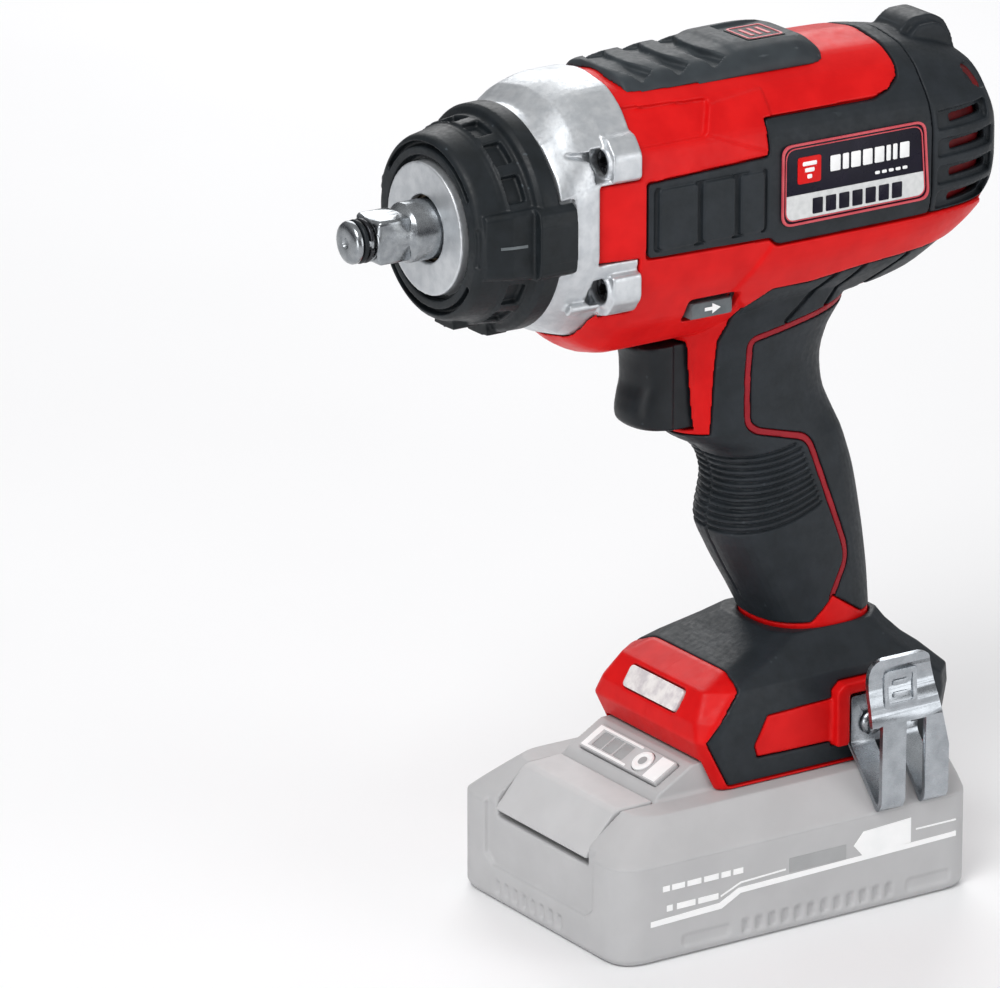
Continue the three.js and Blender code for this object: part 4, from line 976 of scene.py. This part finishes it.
def belt_hook():
    sheet = 1.5
    leg = [(29.55, 50), (29.55, 47), (42.0, 33.2), (43.4, 30.9), (45.1, 33.0), (45.2, 57.9)]
    leaf = [(45.2, 57.5), (44.9, 62), (43.9, 68), (43.9, 74), (44.8, 78)]
    tab = keep(strip(leaf, sheet, -48.6, -22), side_prism(
        rounded([(-23, 55), (-22, 73), (-23.2, 77), (-27, 78.4), (-39.4, 78.4), (-43.2, 77), (-44.2, 73),
                 (-48.6, 55)], 3, 6), 40, 50))
    plate = cut(side_prism(rectangle(-48, -26.6, 47, 62, 1.2), 28.8, 30.3),
                side_prism(circle(2.2, 24, *HOOK_SCREW), 20, 40))
    legs = [strip(leg, sheet, -35, -26.6), strip(leg, sheet, -50.4, -42)]
    slope = side_prism([(-43.6, 75.4), (-50.4, 47.6), (-56, 47.6), (-56, 75.4)], 40, 50)
    hook = bevelled(cut(join(plate, *legs, tab), slope), 0.25, 2, 40)
    finish_piece(hook, "belt_clip", "hook_steel", nodes=["belt_hook"])

    border = cut(side_prism(rectangle(-39, -27.4, 62.4, 73.8, 1.6, 5), 43.4, 45.6),
                 side_prism(rectangle(-37.5, -28.9, 63.9, 72.3, 0.9, 5), 43, 46))
    bars = [side_prism(rectangle(-35.8, -30.6, z, z + 1.5), 43.4, 45.6) for z in (65.6, 69.1)]
    emboss = keep(join(border, *bars), strip([(y + 0.45, z) for y, z in leaf], sheet, -46.6, -24))
    finish_piece(bevelled(emboss, 0.2, 2, 40), "belt_clip_emboss", "hook_steel")


def belt_hook_screw():
    x, z = HOOK_SCREW
    profile = [(20, 1.4), (20.6, 1.7), (30.6, 1.7), (30.6, 3.8), (31.4, 3.8), (32.3, 3.1), (32.8, 1.9)]
    piece = loft([[(p, y, q) for p, q in circle(r, 48, x, z)] for y, r in profile])
    cross = [block(x - wide, x + wide, 31.6, 34, z - high, z + high)
             for wide, high in ((1.9, 0.4), (0.4, 1.9))]
    finish_piece(bevelled(cut(piece, *cross), 0.1, 2), "clip_screw", "machined_steel",
                 nodes=["belt_hook_screw"])


# ---------------------------------------------------------------- battery
def rounded_plan(front, rear, half, corner):
    side = [(front, half - corner), (front - corner * 0.3, half - corner * 0.3), (front - corner, half),
            (rear + corner, half), (rear + corner * 0.3, half - corner * 0.3), (rear, half - corner)]
    return rounded(side + [(x, -y) for x, y in reversed(side)], 3.0, 4)


def plan_loft(levels):
    return loft([[(x, y, z) for x, y in rounded_plan(front, rear, half, corner)]
                 for z, front, rear, half, corner in levels])


def battery_tub():
    front, rear, half = BATTERY_FRONT_X, BATTERY_REAR_X, BATTERY_HALF
    shell = plan_loft([(0, front - 2, rear + 2, half - 1.8, 6),
                       (0.6, front - 0.9, rear + 0.9, half - 0.9, 6.5),
                       (2, front, rear, half, 7), (30, front, rear, half, 7)])
    vents = [block(front - 1.1, 80, y - 1.2, y + 1.2, 2.8, 7.3) for y in np.arange(-21, 12, 4.6)]
    for side in (1, -1):
        vents += [side_block(side, x - 1.3, x + 1.3, half - 1.1, 60, 3.0, 7.2)
                  for x in np.arange(-32, 19, 4.6)]
        vents += [on_side(side, rectangle(x, x + long, 3.0, 7.2, 1.6), half - 0.6, 60)
                  for x, long in ((24, 17), (-54, 16))]
    return cut(shell, *vents)


def on_gauge(points):
    """Moves points from the sloping gauge's own frame, whose x runs down the slope."""
    slope = math.atan2(49.6 - 42.8, 36.4 - 24.6)
    return [(30.6 + x * math.cos(slope) + z * math.sin(slope), y,
             46.1 - x * math.sin(slope) + z * math.cos(slope))
            for x, y, z in points]


def gauge_slab(outline, low, high):
    return loft([on_gauge([(x, y, z) for x, y in outline]) for z in (low, high)])


def battery_cover():
    front, rear, half = BATTERY_FRONT_X, BATTERY_REAR_X, BATTERY_HALF
    shoulder = plan_loft([(29.9, front, rear, half, 7), (33, front - 2.7, rear, half - 3.0, 7),
                          (37, 54.5, rear + 0.7, 36.4, 7), (40.7, 49.5, -58, 33, 7)])
    tower = side_prism([(-50, 38), (-50, 48.6), (-49, 49.6), (24.6, 49.6), (36.4, 42.8), (40, 38)],
                       -23.7, 23.7)
    grooves = [side_block(side, -60, 12, 21.2, 30, 42.9, 45.6) for side in (1, -1)]
    slots = [block(-60, -4, y - 1.1, y + 1.1, 42.9, 60) for y in (-10, -4, 4, 10)]
    seat = gauge_slab(rectangle(-5, 5, -19.8, 19.8, 0.8), -1.5, 3)
    return cut(join(shoulder, tower), *grooves, *slots, seat)


def battery_shells():
    """The battery's case and lid, moulded as one form and split at their joint."""
    hollows = [both_sides(-51, 51, 35, 2.6, 29), both_sides(-48, 30, 34, 20, 36.6),
               both_sides(-40, 18, 7.4, 30, 46.4), both_sides(38.2, 80, PADDLE_HALF + 0.4, 26, 60)]
    front_panel = prism([(-28, 36), (-28, 14), (-24, 11), (24, 11), (28, 14), (28, 36)], "x",
                        BATTERY_FRONT_X - 1.6, 80)
    tub = cut(join(battery_tub(), battery_cover()), *hollows, front_panel)
    moulded(tub, 0.5, 3, 0.35)
    cover = copy_of(tub)
    keep(tub, block(-FAR, FAR, -FAR, FAR, -1, BATTERY_SPLIT_Z - 0.04))
    keep(cover, block(-FAR, FAR, -FAR, FAR, BATTERY_SPLIT_Z, 60))
    finish_piece(shade(tub, 60), "battery_tub", "battery_shell", "battery", ["battery_case"])
    finish_piece(shade(cover, 60), "battery_cover", "battery_shell", "battery",
                 ["battery_lid"])


def battery_release():
    button = side_prism([(38.6, 33.6), (38.6, 41.3), (50, 41.0), (52, 40.2), (60.8, 30), (61.3, 29),
                         (61.1, 28.2),
                         (57.6, 28.2), (53.4, 33.6)], -PADDLE_HALF, PADDLE_HALF)
    moulded(button, 0.4, 3, 0.35)
    finish_piece(button, "release_paddle", "battery_light", "battery_release",
                 ["battery_release"])


def battery_gauge():
    panel = gauge_slab(rectangle(-4.6, 4.6, -19.4, 19.4, 0.7), -1.2, 1.0)
    hole = gauge_slab(circle(3.9, 60, 0, 8), -3, 3)
    wells = [gauge_slab(rectangle(-2.9, 2.9, y, y + 4.9, 0.5), 0.45, 3) for y in (-15.2, -9.8, -4.4)]
    bevelled(cut(panel, copy_of(hole), *wells), 0.12, 2)
    finish_piece(panel, "gauge_plate", "battery_light", "battery", ["gauge_panel"])
    prints = [gauge_slab(rectangle(x0, x1, y0, y1, 0.3), 0.9, 1.12)
              for x0, x1, y0, y1 in ((-4.2, 4.2, -18.8, -16.4), (-4.2, -3.4, -16.6, 3.4),
                                     (3.4, 4.2, -16.6, 3.4),
                                     (-4.2, 4.2, 12.8, 18.8))]
    white = cut(join(*prints), hole)
    finish_piece(shade(white), "gauge_prints", "white_print", "battery")
    for i, y in enumerate((-15.0, -9.6, -4.2), 1):
        window = bevelled(gauge_slab(rectangle(-2.7, 2.7, y, y + 4.5, 0.4), 0.4, 0.7), 0.08, 2)
        finish_piece(window, f"gauge_window_{i}", "battery_grey", "battery")
    cap_rings = [(3.55, -0.6), (3.6, 1.3), (3.3, 1.65), (2.4, 1.7), (2.0, 1.45), (0.4, 1.35)]
    cap = loft([on_gauge([(x, y, z) for x, y in circle(r, 60, 0, 8)]) for r, z in cap_rings])
    finish_piece(shade(cap), "gauge_push", "white_print", "gauge_button", ["gauge_button"])
    mark = gauge_slab(arc(1.5, 0, 354, 29, 0, 8), 1.3, 1.5)
    finish_piece(shade(mark), "gauge_push_mark", "battery_grey", "gauge_button")


def battery_prints(side, name):
    """Plain stripes and label blocks, in place of the printed wording."""
    def mark(outline):
        return on_side(side, outline, BATTERY_HALF - 0.3, BATTERY_HALF + 0.13)

    def tile(x, z, wide, high):
        return mark([(x, z), (x - wide, z), (x - wide, z + high), (x, z + high)])

    stripe = mark([(52, 11.6), (52, 13.3), (28.2, 14.1), (21.6, 17.3), (-55.7, 18.4), (-55.7, 16.9),
                   (20.8, 15.6),
                   (27.4, 12.2)])
    lines = [mark(ribbon(line, 0.5)) for line in ([(27.8, 16), (20.8, 18.8), (5, 19.4)],
                                                  [(-41.2, 22), (-55.6, 22)])]
    tag = mark([(-19, 21.4), (-22.4, 25.2), (-39.4, 26), (-39.4, 18.3), (-22.4, 17.6)])
    words = [tile(x, 21.6, wide, 1.7)
             for x, wide in ((47.9, 2.4), (44.7, 4.4), (39.4, 4.8), (33.6, 5), (27.6, 3.2), (23.4, 3.4))]
    words += [tile(x, 15.4, wide, 1.8) for x, wide in ((46.5, 2), (43, 6.4), (35.6, 7))]
    finish_piece(shade(join(stripe, *lines, tag, *words)), f"{name}_battery_print", "white_print",
                 "battery")
    finish_piece(shade(tile(3.7, 18.1, 20, 4.4)), f"{name}_battery_panel", "battery_grey",
                 "battery")


# ---------------------------------------------------------------- carried-over CAD nodes
INNER_LOOKS = {
    "machined_steel": ("planet_gear",), "oxide_steel": ("hammer", "camshaft", "ring_gear", "rotor"),
    "bearing_steel": ("cam_ball", "planet_pin", "front_bearing", "rear_bearing"),
    "bronze": ("anvil_bushing",), "cast_aluminium": ("gearbox_plate",), "motor_core": ("stator",),
    "black_plastic": ("cooling_fan", "trigger_switch", "terminal_block"), "circuit_green": ("control_board",),
    "cell_blue": ("cell_",),
}


def dress_inner_nodes():
    for look, prefixes in INNER_LOOKS.items():
        for node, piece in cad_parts.items():
            if node.startswith(prefixes) and not piece.hide_render:
                piece.data.materials.clear()
                piece.data.materials.append(LOOKS[look])


# ---------------------------------------------------------------- studio
def studio():
    reach, ground = 4000, cad_box[0][2] / MM
    corners = [(-reach, -reach), (reach, -reach), (reach, reach), (-reach, reach)]
    floor = mesh_piece([(x, y, ground) for x, y in corners], [(0, 1, 2, 3)])
    floor.name = "floor"
    white = material("floor_white", 0.6, [(244, 244, 245), (247, 247, 248)], 400, (0.03, 300))
    floor.data.materials.append(white)

    world = bpy.data.worlds.new("studio")
    world.use_nodes = True
    nodes, links = world.node_tree.nodes, world.node_tree.links
    height = nodes.new("ShaderNodeSeparateXYZ")
    links.new(nodes.new("ShaderNodeTexCoord").outputs["Generated"], height.inputs["Vector"])
    sky = nodes.new("ShaderNodeValToRGB")
    sky.color_ramp.elements[0].position = 0.1
    sky.color_ramp.elements[0].color = (0.12, 0.12, 0.13, 1)
    sky.color_ramp.elements[1].position = 0.75
    sky.color_ramp.elements[1].color = (0.56, 0.56, 0.56, 1)
    links.new(height.outputs["Z"], sky.inputs["Fac"])
    links.new(sky.outputs["Color"], nodes["Background"].inputs["Color"])
    bpy.context.scene.world = world
    bpy.context.scene.view_settings.view_transform = "Standard"

    middle = Vector((0.02, 0, 0.14))
    for name, place, size, power in (
            ("key", (0.9, 0.5, 1.3), 0.7, 13), ("fill", (-0.9, 1.4, 0.5), 1.0, 7),
            ("front", (1.5, 0.7, 0.25), 0.6, 5), ("back", (-0.6, -1.1, 0.9), 0.8, 7)):
        light = bpy.data.lights.new(name, "AREA")
        light.size = size
        light.energy = power
        lamp = bpy.data.objects.new(name, light)
        lamp.location = place
        lamp.rotation_euler = (middle - Vector(place)).to_track_quat("-Z", "Y").to_euler()
        bpy.context.scene.collection.objects.link(lamp)


def camera():
    turn, tilt, distance = math.radians(33.3), math.radians(18.8), 2.333
    towards = Vector((math.sin(turn) * math.cos(tilt), math.cos(turn) * math.cos(tilt), math.sin(tilt)))
    target = Vector((32.401, -65.2185, 107.868)) * MM
    data = bpy.data.cameras.new("view")
    data.sensor_width = 36
    data.lens = 286.5
    data.clip_end = 20
    eye = bpy.data.objects.new("view", data)
    eye.location = target + towards * distance
    eye.rotation_euler = (-towards).to_track_quat("-Z", "Y").to_euler()
    bpy.context.scene.collection.objects.link(eye)
    bpy.context.scene.camera = eye


camera()
studio()
housing()
grips()
side_panels()
for side, name in SIDES:
    badge(side, name)
rear_cover()
top_pad()
foot_skins()
hammer_case()
case_screws()
nose_bumper()
anvil()
spring("hammer_coil", "hammer_spring", "camshaft",
       (44.4, 63.1, 13.4, 2.6, 3.5, AXIS_Z))
spring("trigger_coil", "trigger_spring", "housing", (1.1, 14.7, 2.9, 0.8, 4, 159.0))
trigger()
direction_selector()
work_light()
belt_hook()
belt_hook_screw()
battery_shells()
battery_release()
battery_gauge()
for side, name in SIDES:
    battery_prints(side, name)
dress_inner_nodes()
